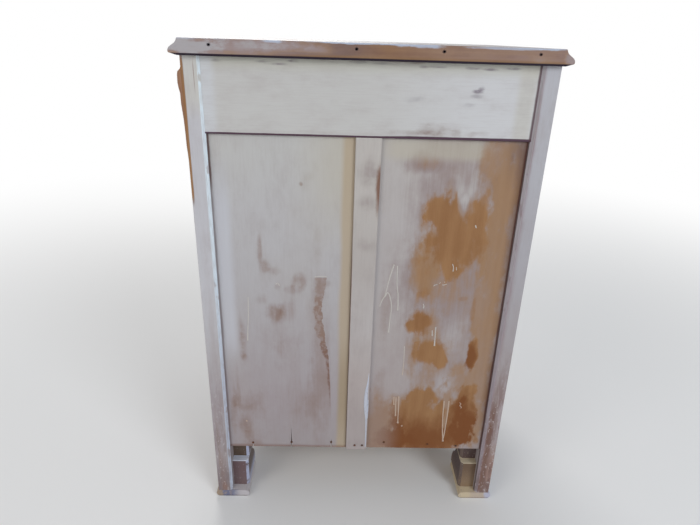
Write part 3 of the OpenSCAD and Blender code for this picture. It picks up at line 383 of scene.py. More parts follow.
LEFT_PANEL_COVER = [
    [-150, 480, 70, 130, -0.14, 0.8], [-125, 410, 60, 60, -0.14, 0.8], [-115, 300, 40, 60, -0.06, 0.8],
    [-120, 160, 90, 80, -0.1, 0.8], [-70, 603, 22, 12, -0.25, 0.8], [-90, 600, 14, 10, -0.15, 0.8],
    [-60, 430, 22, 40, -0.1, 0.8], [-36, 385, 9, 40, -0.12, 0.7], [-72, 530, 12, 12, -0.05, 0.8],
    [-124, 588, 5, 10, 0.08, 0.7], [-128, 573, 5, 12, 0.1, 0.7], [-133, 558, 5, 12, 0.12, 0.6],
    [-152, 588, 5, 10, 0.06, 0.7], [-148, 573, 5, 12, 0.09, 0.7], [-143, 558, 5, 12, 0.12, 0.6],
    [-139, 546, 4, 10, 0.14, 0.6], [-150, 335, 16, 44, 0.16, 0.7], [-66, 245, 30, 24, 0.14, 0.7],
    [-140, 235, 18, 26, 0.16, 0.6], [-125, 320, 14, 24, 0.1, 0.7], [-45, 280, 22, 60, 0.08, 0.8]]
LEFT_PANEL_STAIN = [
    [-190, 602, 30, 40, 1.4, 0.8], [-200, 520, 12, 60, 0.6, 0.8], [-70, 603, 20, 12, 0.3, 0.8],
    [-118, 590, 22, 16, 0.26, 0.8], [-95, 470, 24, 60, 0.1, 0.8], [-36, 380, 8, 60, 0.26, 0.8],
    [-60, 560, 14, 16, 0.08, 0.8], [-44, 470, 18, 30, 0.12, 0.8], [-60, 290, 30, 60, 0.14, 0.8],
    [-34, 200, 12, 50, 0.3, 0.8]]
LEFT_PANEL_TAN = [
    [-194, 370, 18, 245, 1, 0.5], [-188, 575, 24, 44, 0.6, 0.8], [-150, 606, 20, 26, 0.16, 0.8],
    [-162, 385, 18, 34, 0.35, 0.8], [-90, 432, 20, 46, 0.7, 0.6], [-104, 432, 12, 26, 0.3, 0.8],
    [-172, 240, 28, 34, 0.7, 0.6], [-108, 246, 34, 28, 0.48, 0.8], [-130, 495, 54, 66, 0.7, 0.5],
    [-32, 160, 20, 62, 0.42, 0.8], [-58, 130, 12, 16, 0.6, 0.6], [-172, 612, 16, 26, 0.6, 0.7],
    [-26, 122, 18, 26, 0.4, 0.8], [-120, 160, 92, 66, 0.8, 0.4], [-82, 300, 12, 44, 0.35, 0.8],
    [-100, 350, 26, 30, 0.45, 0.6], [-118, 292, 34, 36, 0.45, 0.6], [-160, 300, 14, 40, 0.22, 0.8],
    [-176, 375, 8, 34, 0.45, 0.7], [-125, 170, 4, 30, -0.25, 0.6], [-62, 238, 24, 18, -0.45, 0.6],
    [-137, 240, 15, 20, -0.3, 0.6], [-137, 576, 12, 20, -0.5, 0.6], [-138, 550, 5, 14, -0.5, 0.6],
    [-45, 132, 16, 34, 0.6, 0.7], [-140, 418, 32, 14, -0.6, 0.7]]
LEFT_PANEL_BARE = [
    [-102, 540, 18, 26, 0.8, 0.6], [-131, 495, 42, 50, 0.95, 0.55], [-166, 546, 11, 24, 0.6, 0.5],
    [-128, 440, 15, 18, 0.7, 0.5], [-88, 436, 12, 34, 0.42, 0.7], [-92, 402, 12, 8, 0.4, 0.7],
    [-170, 375, 5, 26, 0.5, 0.5], [-152, 396, 9, 5, 0.5, 0.5], [-90, 353, 17, 22, 0.95, 0.6],
    [-76, 344, 10, 12, 0.6, 0.5], [-110, 298, 27, 22, 0.95, 0.55], [-131, 281, 11, 16, 0.8, 0.6],
    [-179, 295, 10, 31, 1, 0.4], [-98, 164, 48, 62, 0.95, 0.55], [-115, 215, 34, 14, 0.6, 0.5],
    [-180, 176, 19, 54, 1, 0.4], [-42, 124, 26, 20, 0.5, 0.7], [-58, 130, 10, 14, 0.6, 0.6],
    [-150, 150, 30, 46, 0.8, 0.6], [-120, 122, 82, 22, 0.7, 0.5], [-174, 222, 14, 14, 0.6, 0.5],
    [-64, 228, 18, 16, -0.8, 0.6], [-137, 238, 12, 25, -1, 0.6], [-137, 555, 7, 26, -0.8, 0.5],
    [-84, 325, 13, 4, -0.8, 0.5], [-98, 560, 10, 8, -0.2, 0.5], [-147, 186, 5, 30, -0.75, 0.5],
    [-148, 150, 3, 26, -0.6, 0.5], [-66, 200, 5, 20, -0.5, 0.5]]
LEFT_PANEL_DEEP = [
    [-183, 160, 18, 46, 0.9, 0.5], [-166, 192, 12, 34, 0.6, 0.7], [-177, 290, 9, 28, 0.9, 0.4],
    [-116, 130, 80, 34, 0.92, 0.7], [-62, 150, 16, 40, 0.65, 0.7], [-48, 124, 34, 22, 0.55, 0.7],
    [-90, 353, 16, 20, 0.3, 0.6], [-120, 500, 40, 50, 0.12, 0.7]]
RIGHT_PANEL_COVER = [
    [60, 300, 22, 120, -0.22, 0.8], [90, 190, 70, 90, -0.2, 0.8], [130, 360, 34, 50, -0.16, 0.8],
    [185, 150, 26, 60, -0.24, 0.8], [150, 460, 12, 40, -0.14, 0.8], [196, 260, 6, 70, 0.25, 0.6],
    [38, 300, 8, 150, 0.3, 0.6], [88, 300, 5, 90, 0.2, 0.6], [120, 560, 90, 60, 0.15, 0.8]]
RIGHT_PANEL_STAIN = [
    [152, 470, 3.5, 22, 0.75, 0.6], [146, 442, 7, 10, 0.65, 0.6], [133, 436, 9, 6, 0.35, 0.7],
    [94, 419, 9, 12, 0.7, 0.6], [106, 405, 10, 6, 0.35, 0.7], [91, 568, 2.2, 2.4, 0.55, 0.6],
    [82, 579, 7, 7, 0.28, 0.7], [84, 566, 6, 8, 0.2, 0.8], [132, 366, 13, 15, 0.6, 0.6],
    [151, 388, 8, 8, 0.3, 0.7], [113, 366, 12, 14, 0.28, 0.8], [127, 410, 5, 6, 0.3, 0.5],
    [68, 470, 5, 24, 0.3, 0.8], [60, 415, 11, 6, 0.35, 0.6], [183, 312, 5, 32, 0.42, 0.6],
    [184, 289, 6, 9, 0.45, 0.6], [199, 200, 8, 13, 0.32, 0.7], [184, 188, 12, 6, 0.3, 0.7],
    [190, 152, 11, 16, 0.6, 0.6], [182, 130, 8, 12, 0.55, 0.6], [176, 113, 14, 7, 0.45, 0.7],
    [83, 195, 17, 26, 0.3, 0.7], [110, 330, 40, 60, 0.12, 0.8], [120, 240, 60, 60, 0.1, 0.8],
    [104, 530, 22, 20, 0.08, 0.8], [205, 330, 6, 200, 0.1, 0.8], [196, 235, 3.5, 44, 0.4, 0.6],
    [202, 205, 3, 30, 0.34, 0.6], [187, 330, 4, 30, 0.3, 0.7], [206, 160, 4, 40, 0.3, 0.7]]
MUNTIN_TONES = [
    (170, (0.395, 0.346, 0.338)), (245, (0.428, 0.375, 0.362)), (345, (0.467, 0.433, 0.425)),
    (445, (0.434, 0.398, 0.38)), (560, (0.476, 0.445, 0.42))]
MUNTIN_STAIN = [
    [-5, 588, 14, 17, 0.45, 0.7], [-2, 545, 14, 9, 0.35, 0.7], [-3, 481, 13, 9, 0.26, 0.8],
    [5, 330, 12, 50, 0.1, 0.8], [0, 118, 16, 8, 0.18, 0.8], [6, 200, 8, 60, 0.1, 0.8]]
MUNTIN_RED = [[-16.6, 566, 4.6, 34, 0.9, 0.5], [17.6, 390, 0.9, 70, 0.6, 0.4], [17.6, 300, 1, 30, 0.5, 0.4]]
RAIL_STAIN = [
    [-141.5, 699.4, 3.6, 3, 0.95, 0.6], [-137, 696, 6, 2.2, 0.85, 0.6], [-136, 690.6, 7, 2.2, 0.6, 0.7],
    [-127, 679, 6, 2.4, 0.22, 0.8], [-52, 684, 8, 3, 0.22, 0.8], [-63, 685.5, 6, 2.6, 0.2, 0.8],
    [-65, 724.3, 5, 1.6, 0.65, 0.6], [-82, 724.6, 12, 1.2, 0.55, 0.7], [-128, 723.9, 9, 1.4, 0.6, 0.6],
    [-150, 723.2, 9, 1.6, 0.6, 0.6], [-177, 725, 9, 1.4, 0.5, 0.7], [-9, 727, 12, 1.6, 0.4, 0.7],
    [15, 727.8, 10, 1.6, 0.45, 0.7], [120, 722.6, 12, 1.4, 0.55, 0.6], [136, 725, 10, 1.2, 0.4, 0.7],
    [99, 726.8, 6, 1.6, 0.6, 0.6], [196, 724.6, 5, 1.6, 0.4, 0.6], [-200, 680, 9, 40, 0.1, 0.8]]
RAIL_DIRT = [
    [-86, 645, 17, 7.5, 0.62, 0.8], [-62, 641, 26, 4, 0.4, 0.8], [-116, 642.5, 6, 5, 0.45, 0.7],
    [-137, 642, 5, 2.6, 0.3, 0.8], [-151, 643.5, 6, 3.5, 0.28, 0.8], [-27, 641.5, 5, 3, 0.35, 0.7],
    [-57, 728.4, 9, 1.4, 0.7, 0.6], [60, 639, 120, 2.4, 0.14, 0.8]]
TOP_COVER = [
    [234, 742, 34, 12, 0.8, 0.8], [221, 747.5, 15, 3, -0.38, 0.6], [240, 733, 16, 2.4, -0.35, 0.6],
    [175, 741, 60, 10, 0.44, 0.8], [110, 744, 50, 7, 0.34, 0.8], [70, 740, 24, 5, 0.2, 0.8],
    [30, 742, 26, 7, -0.16, 0.8], [190, 735, 20, 2, -0.3, 0.7], [95, 735, 30, 2.4, -0.3, 0.7],
    [-247, 741, 9, 8, 0.45, 0.5], [-208, 738, 9, 4, 0.22, 0.8], [-150, 745, 60, 5, 0.14, 0.8]]
TOP_ARRIS_HIGHLIGHTS = [
    [122, 749, 13, 2, 1, 0.5], [10, 750, 75, 1.6, 1, 0.3], [-62, 749.4, 26, 2.6, 0.9, 0.4],
    [-170, 748.6, 50, 1.3, 0.8, 0.5], [-215, 749.5, 28, 1, 0.7, 0.4], [225, 750, 40, 1, 0.5, 0.4]]
NAIL_HOLES = [[x, 743, 2.1, 1.8, 1.0, 0.5] for x in (201, 20.4, -87.6, -207.6)]


def back_board(name, seed):
    """A finish for a board of the back that starts as bare wood and has ragged spots."""
    f = on_wood(name, "z", seed)
    f.wobble = f.stray(1.9, (42, 42, 24), 5, seed + 80, 0.62)
    return f


def back_done(f, node):
    """Leaves the side of a back board that looks into the cupboard unpainted, and returns its material."""
    face = box_mm(node)[0].y
    raw_wood(f, f.ease(f.y, face + 1.2, face + 0.6), 30)
    return f.done()


def stain(f, places, tone):
    """Brown marks on the paint where the spots say, broken up along the brush strokes."""
    whole = f.times(f.patches(0.2, 0.62, f.along(130), 4, 61), f.patches(0.3, 0.58, 70, 4, 62))
    f.lay(tone, f.marks(places), f.sum(0.35, (whole, 0.65)))


CORNER_SHADE_LINE = (0.12, 0.05, 0.042)


def corner_shade_and_dirt(f, side):
    """Dark line beside the stile and under the rail: painted shade in these recesses, with some dirt."""
    ragged = f.stray(3, (60, 60, 30), 3, 91)
    strength = f.ease(f.z, 555, 575, 0.4, 0.85) if side > 0 else 0.85
    f.lay(CORNER_SHADE_LINE, f.strip(f.sum(ragged, (f.x, side)), INNER - 2, INNER + 5, 1.0), strength)
    f.lay(GRIME_AND_SHADE, f.strip(f.sum(f.z, (ragged, 0.3)), RAIL_FOOT + 1, RAIL_FOOT + 6, 0.5), 0.85)


PINK_FILM = (0.415, 0.362, 0.345)
PINK_WASH = (0.33, 0.24, 0.19)
YELLOWED = (0.46, 0.42, 0.34)
BROWN_HAZE = (0.3, 0.205, 0.165)
SIDE_SHADOW = (0.15, 0.072, 0.036)
CORNER_SHADOW = (0.15, 0.095, 0.08)


def left_panel():
    """Worn in layers: white over a pinkish film, a tan wash below it, and bare wood where all is gone."""
    f = back_board("paint, left panel", 1)
    bare_colour = f.colour
    bare_relief = f.relief
    cover = f.sum(f.spots(0.68, LEFT_PANEL_COVER), (f.ease(f.x, -90, -40), 0.22))
    paint(f, cover, f.mix(paint_tint(f), PINK_FILM, 0.45))
    stain(f, LEFT_PANEL_STAIN, BROWN_STAIN)
    f.lay(YELLOWED, f.times(f.strip(f.z, 606, 633, 8), f.strip(f.x, -165, -25, 16)), 0.6)
    ragged = f.add(f.stray(0.85, (26, 26, 16), 6, 22, 0.66), f.stray(0.42, f.along(150), 4, 23))
    tan = f.ease(f.add(f.spots(0.0, LEFT_PANEL_TAN), ragged), 0.05, 0.95)
    washed = f.mix(WOOD_WASH, PINK_WASH, f.patches(0.4, 0.68, (20, 20, 9), 5, 24, 0.6))
    f.lay(f.mix(washed, bare_colour, 0.35), tan, 0.94)
    fine = f.stray(0.35, (120, 120, 50), 4, 26, 0.65)
    bare = f.ease(f.sum(f.spots(0.0, LEFT_PANEL_BARE), (ragged, 0.6), (fine, 1.0)), 0.18, 0.86)
    f.lay(f.mix(bare_colour, WOOD_DEEP, f.marks(LEFT_PANEL_DEEP)), bare)
    f.relief = f.add(f.times(f.relief, f.less(1.0, bare)), f.times(bare_relief, bare))
    f.lay(BROWN_HAZE, f.times(f.ease(f.sum(f.x, (ragged, 20)), -78, -36), f.ease(f.z, 240, 180)), 0.72)
    strength = f.sum(0.72, (f.strip(f.z, 290, 430, 40), -0.42))
    f.lay(SIDE_SHADOW, f.times(f.ease(f.x, -200, -215), f.ease(f.z, 100, 220)), strength)
    f.lay(CORNER_SHADOW, f.times(f.ease(f.x, -175, -212), f.ease(f.z, 560, 630)), 0.6)
    corner_shade_and_dirt(f, -1)
    return back_done(f, "back_panel_left")


# The brown streak beside the cream margin: height, then x of its edge by the margin, or its width.
STREAK_EDGE = [(170, 44), (230, 46), (290, 49.5), (310, 54), (340, 57.5), (375, 61.5), (400, 57.5), (428, 53)]
STREAK_WIDTH = [(170, 1.5), (240, 3), (290, 7), (330, 11), (400, 13), (428, 18)]


def long_streak(f):
    """Shares of the brown streak: its crisp line, and the wash that it fades into."""
    jag = f.times(f.stray(11, (120, 120, 90), 4, 93, 0.6), f.ease(f.z, 270, 310))
    across = f.less(f.less(f.x, f.path(STREAK_EDGE)), jag)
    spread = f.stray(14, (60, 60, 40), 4, 95)
    past = f.less(f.add(across, spread), f.path(STREAK_WIDTH))
    holes = f.ease(f.noise(130, 4, 97), 0.36, 0.56, 0.4, 1.0)
    window = f.times(f.ease(f.z, 150, 240), f.ease(f.z, 427.5, 425.5))
    line = f.times(f.ease(across, -0.3, 0.8), f.ease(past, 2, -2), f.ease(f.z, 405, 385, 0.55, 1.0), holes)
    wash = f.times(f.ease(across, -0.3, 1.2), f.ease(across, 30, 6))
    return f.times(line, window), f.times(wash, window)


CREAM = (0.43, 0.345, 0.245)
OLIVE = (0.32, 0.24, 0.14)
STREAK_TOP = (0.245, 0.15, 0.11)
STREAK_WASH = (0.28, 0.21, 0.19)
GLOW_BESIDE_CHAMFER = (0.52, 0.525, 0.57)
WARM_WHITE = (0.47, 0.43, 0.35)


def right_panel():
    """The whiter panel: a cream margin beside the muntin, a long brown streak and a few rubbed marks."""
    f = back_board("paint, right panel", 2)
    paint(f, f.most(f.spots(0.96, RIGHT_PANEL_COVER), 0.44), paint_tint(f))
    stain(f, RIGHT_PANEL_STAIN, BROWN_STAIN)
    line, wash = long_streak(f)
    f.lay(STREAK_WASH, wash, 0.42)
    f.lay(f.mix(STREAK_TOP, RED_BROWN, f.ease(f.z, 335, 290)), line, 0.8)
    # Painted highlight: a cool glow on the panel beside the lit chamfer of the right side.
    f.lay(GLOW_BESIDE_CHAMFER, f.times(f.strip(f.x, 192, 214, 7), f.strip(f.z, 290, 570, 50)), 0.75)
    f.lay(WARM_WHITE, f.times(f.ease(f.x, 120, 30), f.ease(f.z, 430, 600)), 0.55)
    edge = f.stray(5, (20, 20, 12), 3, 96)
    margin = f.times(f.ease(f.add(f.x, edge), MUNTIN_SIDE + 21, MUNTIN_SIDE + 12),
                     f.ease(f.x, MUNTIN_SIDE - 2.5, MUNTIN_SIDE - 1))
    f.lay(f.mix(CREAM, OLIVE, f.strip(f.z, 150, 290, 50), 0.75), margin, 0.85)
    # Painted shade in the corner beside the muntin, stronger low down.
    beside_muntin = f.strip(f.x, MUNTIN_SIDE - 1, MUNTIN_SIDE + 0.9, 0.5)
    f.lay(GRIME_AND_SHADE, beside_muntin, f.ease(f.z, 400, 560, 0.8, 0.2))
    f.lay(RED_BROWN, f.ease(f.sum(f.z, (edge, 0.6)), PANEL_FOOT + 7, PANEL_FOOT + 1), 0.55)
    corner_shade_and_dirt(f, 1)
    return back_done(f, "back_panel_right")


def muntin():
    """Pinkish paint with smudges, and red-brown wood where the paint has gone from its arrises."""
    f = back_board("paint, muntin", 3)
    paint(f, 0.97, f.by_height(MUNTIN_TONES))
    stain(f, MUNTIN_STAIN, SMUDGE)
    f.lay(RED_BROWN, f.marks(MUNTIN_RED))
    # Painted shade under the rail.
    f.lay(GRIME_AND_SHADE, f.strip(f.z, RAIL_FOOT + 0.5, RAIL_FOOT + 6, 0.6), 0.55)
    return back_done(f, "back_muntin")


RAIL_PAINT = (0.52, 0.512, 0.5)
RAIL_COOL = (0.575, 0.575, 0.588)
RAIL_YELLOWED = (0.47, 0.465, 0.4)
RAIL_CREAM = (0.52, 0.5, 0.43)
RAIL_GLOW_BY_CHAMFER = (0.59, 0.61, 0.65)
RAIL_SCUFF = (0.105, 0.065, 0.105)
RAIL_SMUDGE = (0.25, 0.185, 0.165)
SHADE_AND_DIRT_AT_RAIL_FOOT = (0.05, 0.012, 0.034)
SHADE_BESIDE_STILE = (0.075, 0.035, 0.045)


def back_rail():
    """The whitest board of the back: yellowed near the top, scuffed, with painted shade and some dirt in its
    corners and a painted glow by the right side's chamfer.
    """
    f = on_wood("paint, back rail", "x", 4)
    f.wobble = f.stray(2.0, (60, 130, 130), 5, 84, 0.62)
    full = f.mix(RAIL_PAINT, RAIL_COOL, f.ease(f.x, 20, -170))
    full = f.mix(full, RAIL_YELLOWED, f.ease(f.z, 708, 727), 0.75)
    full = f.mix(full, RAIL_CREAM, f.strip(f.x, -212, -190, 6), 0.5)
    # Painted highlight: a bluish glow at the right end, beside the lit chamfer.
    full = f.mix(full, RAIL_GLOW_BY_CHAMFER, f.ease(f.x, 194, 207), 0.6)
    paint(f, 1.02, full)
    stain(f, RAIL_STAIN, RAIL_SCUFF)
    stain(f, RAIL_DIRT, RAIL_SMUDGE)
    ragged = f.stray(2.6, 40, 4, 92)
    # Painted shadow under the overhang of the top, along the rail's upper edge.
    f.lay(SHADOW_DIRT, f.strip(f.sum(f.z, (ragged, 0.6)), TOP_LOW.z - 0.4, TOP_LOW.z + 10, 0.4))
    # Painted shade and some dirt along the rail's lower edge.
    low_shade_edge = f.ease(f.x, 0, -60, RAIL_FOOT + 2.6, RAIL_FOOT + 3.6)
    f.lay(SHADE_AND_DIRT_AT_RAIL_FOOT, f.ease(f.less(f.sum(f.z, (ragged, 0.3)), low_shade_edge), 0.4, -0.4), 0.95)
    # Painted shade in the recess beside the left side.
    f.lay(SHADE_BESIDE_STILE, f.ease(f.sum(f.x, (ragged, -0.5)), -INNER + 3, -INNER + 0.8), 0.9)
    return back_done(f, "back_rail")


# Stripped wood of the top's back edge, from its left end to its right.
TOP_TONES = [
    (0.00, (0.285, 0.19, 0.16)), (0.15, (0.255, 0.165, 0.14)), (0.30, (0.25, 0.155, 0.12)),
    (0.46, (0.24, 0.13, 0.07)), (0.56, (0.2, 0.13, 0.108)), (0.72, (0.265, 0.19, 0.178)),
    (0.86, (0.31, 0.235, 0.215)), (1.00, (0.32, 0.23, 0.19))]
TOP_DARK = (0.15, 0.072, 0.054)
TOP_GOLD = (0.23, 0.128, 0.062)
TOP_PAINT = (0.455, 0.445, 0.45)
TOP_PAINT_BEHIND = (0.385, 0.362, 0.375)
TOP_PAINT_THIN = (0.3, 0.225, 0.215)
TOP_ARRIS_HIGHLIGHT = (0.43, 0.47, 0.57)


def top_board():
    """Top: its back edge stripped to pinkish brown with white left at one end, the rest under worn paint."""
    f = on_wood("stripped wood, top", "x", 6)
    f.wobble = f.stray(2.2, (46, 80, 80), 5, 86, 0.62)
    behind = f.ease(f.y, BACK + 2, BACK + 5)
    tone = f.ramp(f.sum(0.5, (f.x, 0.5 / TOP_HIGH.x)), TOP_TONES)
    grain = f.sum(0.0, (f.patches(0.36, 0.7, (8, 140, 140), 4, 7), 0.55),
                  (f.patches(0.42, 0.66, (34, 80, 80), 5, 8, 0.65), 0.35))
    stripped = f.mix(tone, f.mix(tone, TOP_DARK, 0.6), grain)
    gold = f.times(f.ease(f.z, TOP_HIGH.z - 13.5, TOP_HIGH.z - 16.5), f.ease(f.x, 150, 60))
    f.lay(f.mix(stripped, TOP_GOLD, gold, 0.8), behind)
    patches = f.patches(0.5, 0.72, (7, 9, 9), 5, 87, 0.62)
    worn = f.sum(0.9, (patches, -0.55), (arris_wear(f, TOP_LOW, TOP_HIGH, 88, 0.45, 16, 3), -0.5))
    cover = f.add(f.times(behind, f.spots(0.1, TOP_COVER)), f.times(f.less(1.0, behind), worn))
    paint(f, cover, f.mix(TOP_PAINT, TOP_PAINT_BEHIND, behind), TOP_PAINT_THIN)
    # Painted highlights: bluish light along the upper arris of the back edge.
    f.lay(TOP_ARRIS_HIGHLIGHT, f.marks(TOP_ARRIS_HIGHLIGHTS), behind)
    # Painted shade in the nail holes and along the lowest millimetre of the back edge.
    holes = f.least(f.spots(0.0, NAIL_HOLES, f.times(f.wobble, 0.3)), 1.0)
    foot = f.ease(f.z, TOP_HIGH.z - 17.1, TOP_HIGH.z - 17.7)
    f.lay(SHADOW_DIRT, f.most(holes, foot), behind)
    return f.done()


CHAMFER = 4  # on the inner rear arris of each side

# Marks on the back edge of each side, and tones up the edge of the left one: height, colour.
RIGHT_STILE_STAIN = [
    [228, 20, 5, 12, 0.75, 0.7], [230, 60, 5, 40, 0.4, 0.8], [233, 140, 3, 60, 0.25, 0.8],
    [224, 706, 0.6, 22, 0.7, 0.5], [228, 330, 4, 90, 0.12, 0.8]]
LEFT_STILE_STAIN = [
    [-228, 70, 6, 40, 0.45, 0.7], [-230, 165, 4, 35, 0.3, 0.7], [-226, 240, 4, 30, 0.25, 0.8],
    [-233, 205, 2.5, 60, 0.25, 0.7], [-228, 30, 6, 16, 0.5, 0.6], [-219, 640, 1.6, 90, 0.35, 0.7],
    [-222, 420, 3, 120, 0.15, 0.8]]
LEFT_STILE_TONES = [
    (15, (0.37, 0.31, 0.31)), (50, (0.3, 0.165, 0.125)), (85, (0.3, 0.175, 0.138)), (130, (0.33, 0.27, 0.26)),
    (240, (0.345, 0.3, 0.3)), (450, (0.37, 0.355, 0.385)), (700, (0.43, 0.43, 0.475))]
STILE_WHITE = (0.515, 0.508, 0.538)
STILE_CREAM = (0.54, 0.528, 0.505)
STILE_FOOT = (0.19, 0.15, 0.155)
STILE_MAUVE = (0.285, 0.22, 0.245)
STILE_PALE = (0.4, 0.335, 0.35)
STILE_RUBBED = (0.16, 0.076, 0.052)
STILE_STREAK = (0.165, 0.09, 0.075)
STILE_SPECK = (0.52, 0.48, 0.485)
CHAMFER_HIGHLIGHT = (0.74, 0.83, 0.89)
RIGHT_STILE_MARK = (0.25, 0.16, 0.135)
LEFT_STILE_MARK = (0.19, 0.115, 0.095)


def right_stile(f, on_back):
    """Paint of the right side: its back edge is white, creamy at the top and dark at the foot."""
    full = f.mix(paint_tint(f), STILE_WHITE, on_back, f.ease(f.z, 200, 420))
    full = f.mix(full, STILE_CREAM, on_back, f.ease(f.z, 645, 685))
    return f.mix(full, STILE_FOOT, on_back, f.ease(f.z, 90, 40, 0.0, 0.7))


def left_stile(f, on_back):
    """Paint of the left side: its back edge is mauve at the inner arris and rubbed brown near the floor."""
    full = f.mix(paint_tint(f), f.by_height(LEFT_STILE_TONES), on_back, 0.8)
    reach = f.size(f.x)
    ragged = f.add(reach, f.stray(7, (70, 70, 24), 5, 98, 0.62))
    full = f.mix(full, STILE_MAUVE, f.times(on_back, f.ease(ragged, INNER + 9, INNER + 3.5)), 0.75)
    pale = f.times(f.strip(f.z, 130, 250, 30), f.ease(reach, INNER + 12, INNER + 16))
    full = f.mix(full, STILE_PALE, pale, 0.55)
    rubbed = f.times(f.strip(ragged, INNER + 5, INNER + 14.5, 2.5), f.strip(f.z, 0, 215, 45))
    patchy = f.ease(f.noise((110, 110, 34), 5, 99, 0.66), 0.36, 0.52, 0.4, 0.95)
    return f.mix(full, STILE_RUBBED, rubbed, patchy)


def inside_of_side(f):
    """Share of the bare inner face of a side, between the bottom board and the top."""
    inner = f.ease(f.size(f.x), INNER + 0.5, INNER + 0.2)
    depth = f.strip(f.y, INSIDE_FRONT, INSIDE_BACK, 0.5)
    return f.times(inner, depth, f.ease(f.z, PANEL_FOOT - 1, PANEL_FOOT + 1))


def side_board(name, seed, side, stile, marks, mark_tone, streaks, bright):
    """Side board: its back edge is painted as the photograph shows it, the rest by chance."""
    f = on_wood(name, "z", seed)
    f.wobble = f.stray(2.4, (160, 160, 28), 5, seed + 80, 0.62)
    on_back = f.ease(f.y, BACK - CHAMFER - 0.8, BACK - CHAMFER)
    elsewhere = f.less(1.0, on_back)
    by_chance = f.sum(0.92, (f.patches(0.56, 0.74, (6, 5, 3), 3, seed + 40), -0.45))
    cover = f.sum(by_chance, (on_back, f.less(0.98, by_chance)))
    if side > 0:
        sprung = f.times(f.ease(f.x, OUTER - 4.4, OUTER - 2.4), f.strip(f.z, 540, 732, 14),
                         f.ease(f.y, BACK - 16, BACK - 8))
        cover = f.sum(cover, (sprung, -0.85))
    x_low, x_high = sorted((side * INNER, side * OUTER))
    worn = arris_wear(f, (x_low, FRONT, 0), (x_high, BACK, TOP_HIGH.z), seed + 50, 0.46)
    paint(f, f.sum(cover, (f.times(worn, elsewhere), -0.7)), stile(f, on_back))
    f.lay(mark_tone, f.marks(marks), on_back)
    low = f.times(on_back, f.ease(f.z, 340, 120))
    f.lay(STILE_STREAK, f.times(f.patches(0.47, 0.6, (130, 130, 20), 6, seed + 97, 0.68), low), streaks)
    f.lay(STILE_SPECK, f.times(f.patches(0.57, 0.67, (230, 230, 120), 4, seed + 95, 0.62), low), 0.6)
    reach = f.size(f.x)
    depth = f.add(f.less(reach, INNER), f.less(BACK, f.y))
    on_chamfer = f.times(on_back, f.ease(depth, CHAMFER + 0.6, CHAMFER + 0.2))
    # Painted highlight: bluish window light on the chamfer, whiter higher up, broken into patches.
    broken = f.times(f.patches(0.32, 0.42, (90, 90, 40), 3, seed + 90),
                     f.ease(f.noise((300, 300, 45), 4, seed + 91), 0.36, 0.62, 0.55, 1.0))
    tone = f.mix(WINDOW_LIGHT_BLUE, CHAMFER_HIGHLIGHT, f.ease(f.z, 200, 520))
    f.lay(tone, f.times(on_chamfer, broken), bright)
    # Painted shade in the rebate where the back sits in the side.
    rebate = f.times(f.ease(reach, INNER + 0.3, INNER + 0.1), f.strip(f.y, BACK - 9, BACK - 3.6, 0.4))
    f.lay(GRIME_AND_SHADE, rebate, f.ease(f.z, 550, 580, 0.35, 0.8) if side > 0 else 0.8)
    f.lay(SMUDGE, f.times(f.patches(0.6, 0.78, (16, 16, 9), 4, seed + 60), elsewhere), 0.25)
    raw_wood(f, inside_of_side(f), 2)
    return f.done()


LEDGE = 68  # height of the step in a back foot's block
LEDGE_DEPTH = 11
BLOCK_CHAMFER = 4
# Tone of each face of a back foot's block and pad: old paint and dirt, with painted light on faces that the
# light reaches and painted shade on the others.
FOOT_LIT_AND_SHADED_TONES = {
    "right": {"face": (0.14, 0.088, 0.094), "low_face": (0.165, 0.112, 0.115), "upper": (0.105, 0.072, 0.052),
              "side": (0.135, 0.105, 0.095), "ledge": (0.6, 0.63, 0.72), "chamfer": (0.44, 0.47, 0.62)},
    "left": {"face": (0.15, 0.095, 0.06), "low_face": (0.26, 0.18, 0.115), "upper": (0.095, 0.062, 0.058),
             "side": (0.085, 0.058, 0.056), "ledge": (0.56, 0.48, 0.35), "chamfer": (0.15, 0.108, 0.092)}}
PAD_LIT_AND_SHADED_TONES = {
    "right": {"upper": (0.52, 0.49, 0.51), "rear": (0.15, 0.165, 0.26), "corner": (0.33, 0.25, 0.18)},
    "left": {"upper": (0.58, 0.48, 0.33), "rear": (0.5, 0.41, 0.33), "corner": (0.48, 0.48, 0.6)}}


def rear_foot(name, seed, face, low_face, upper, side, ledge, chamfer):
    """Stepped block in a back foot, each face with its own tone of old paint and dirt, and painted light and
    shade by how each face is lit.
    """
    f = on_wood(name, "z", seed)
    low, high = box_mm("rear_foot_block_right")
    patches = f.noise(70, 4, seed + 3)
    above_ledge = f.ease(f.z, LEDGE - 0.5, LEDGE + 0.5)
    tone = f.mix(face, low_face, f.ease(f.z, 60, 16))
    tone = f.mix(tone, upper, above_ledge)
    reach = f.less(f.size(f.x), low.x)
    tone = f.mix(tone, f.mix(side, chamfer, f.ease(f.z, 40, 12)), f.ease(reach, 0.6, 0.2))
    depth = f.add(reach, f.less(f.sum(high.y, (above_ledge, -LEDGE_DEPTH)), f.y))
    on_chamfer = f.strip(depth, BLOCK_CHAMFER - 0.3, BLOCK_CHAMFER + 0.3, 0.2)
    tone = f.mix(tone, chamfer, on_chamfer, f.ease(patches, 0.3, 0.44))
    on_ledge = f.strip(f.z, LEDGE - 1.6, LEDGE + 0.6, 0.5)
    tone = f.mix(tone, ledge, on_ledge, f.ease(patches, 0.26, 0.4))
    paint(f, 0.84, tone, f.mix(tone, GRIME_AND_SHADE, 0.25))
    f.lay(ledge, f.patches(0.66, 0.72, 420, 2, seed + 5), 0.4)
    return f.done()


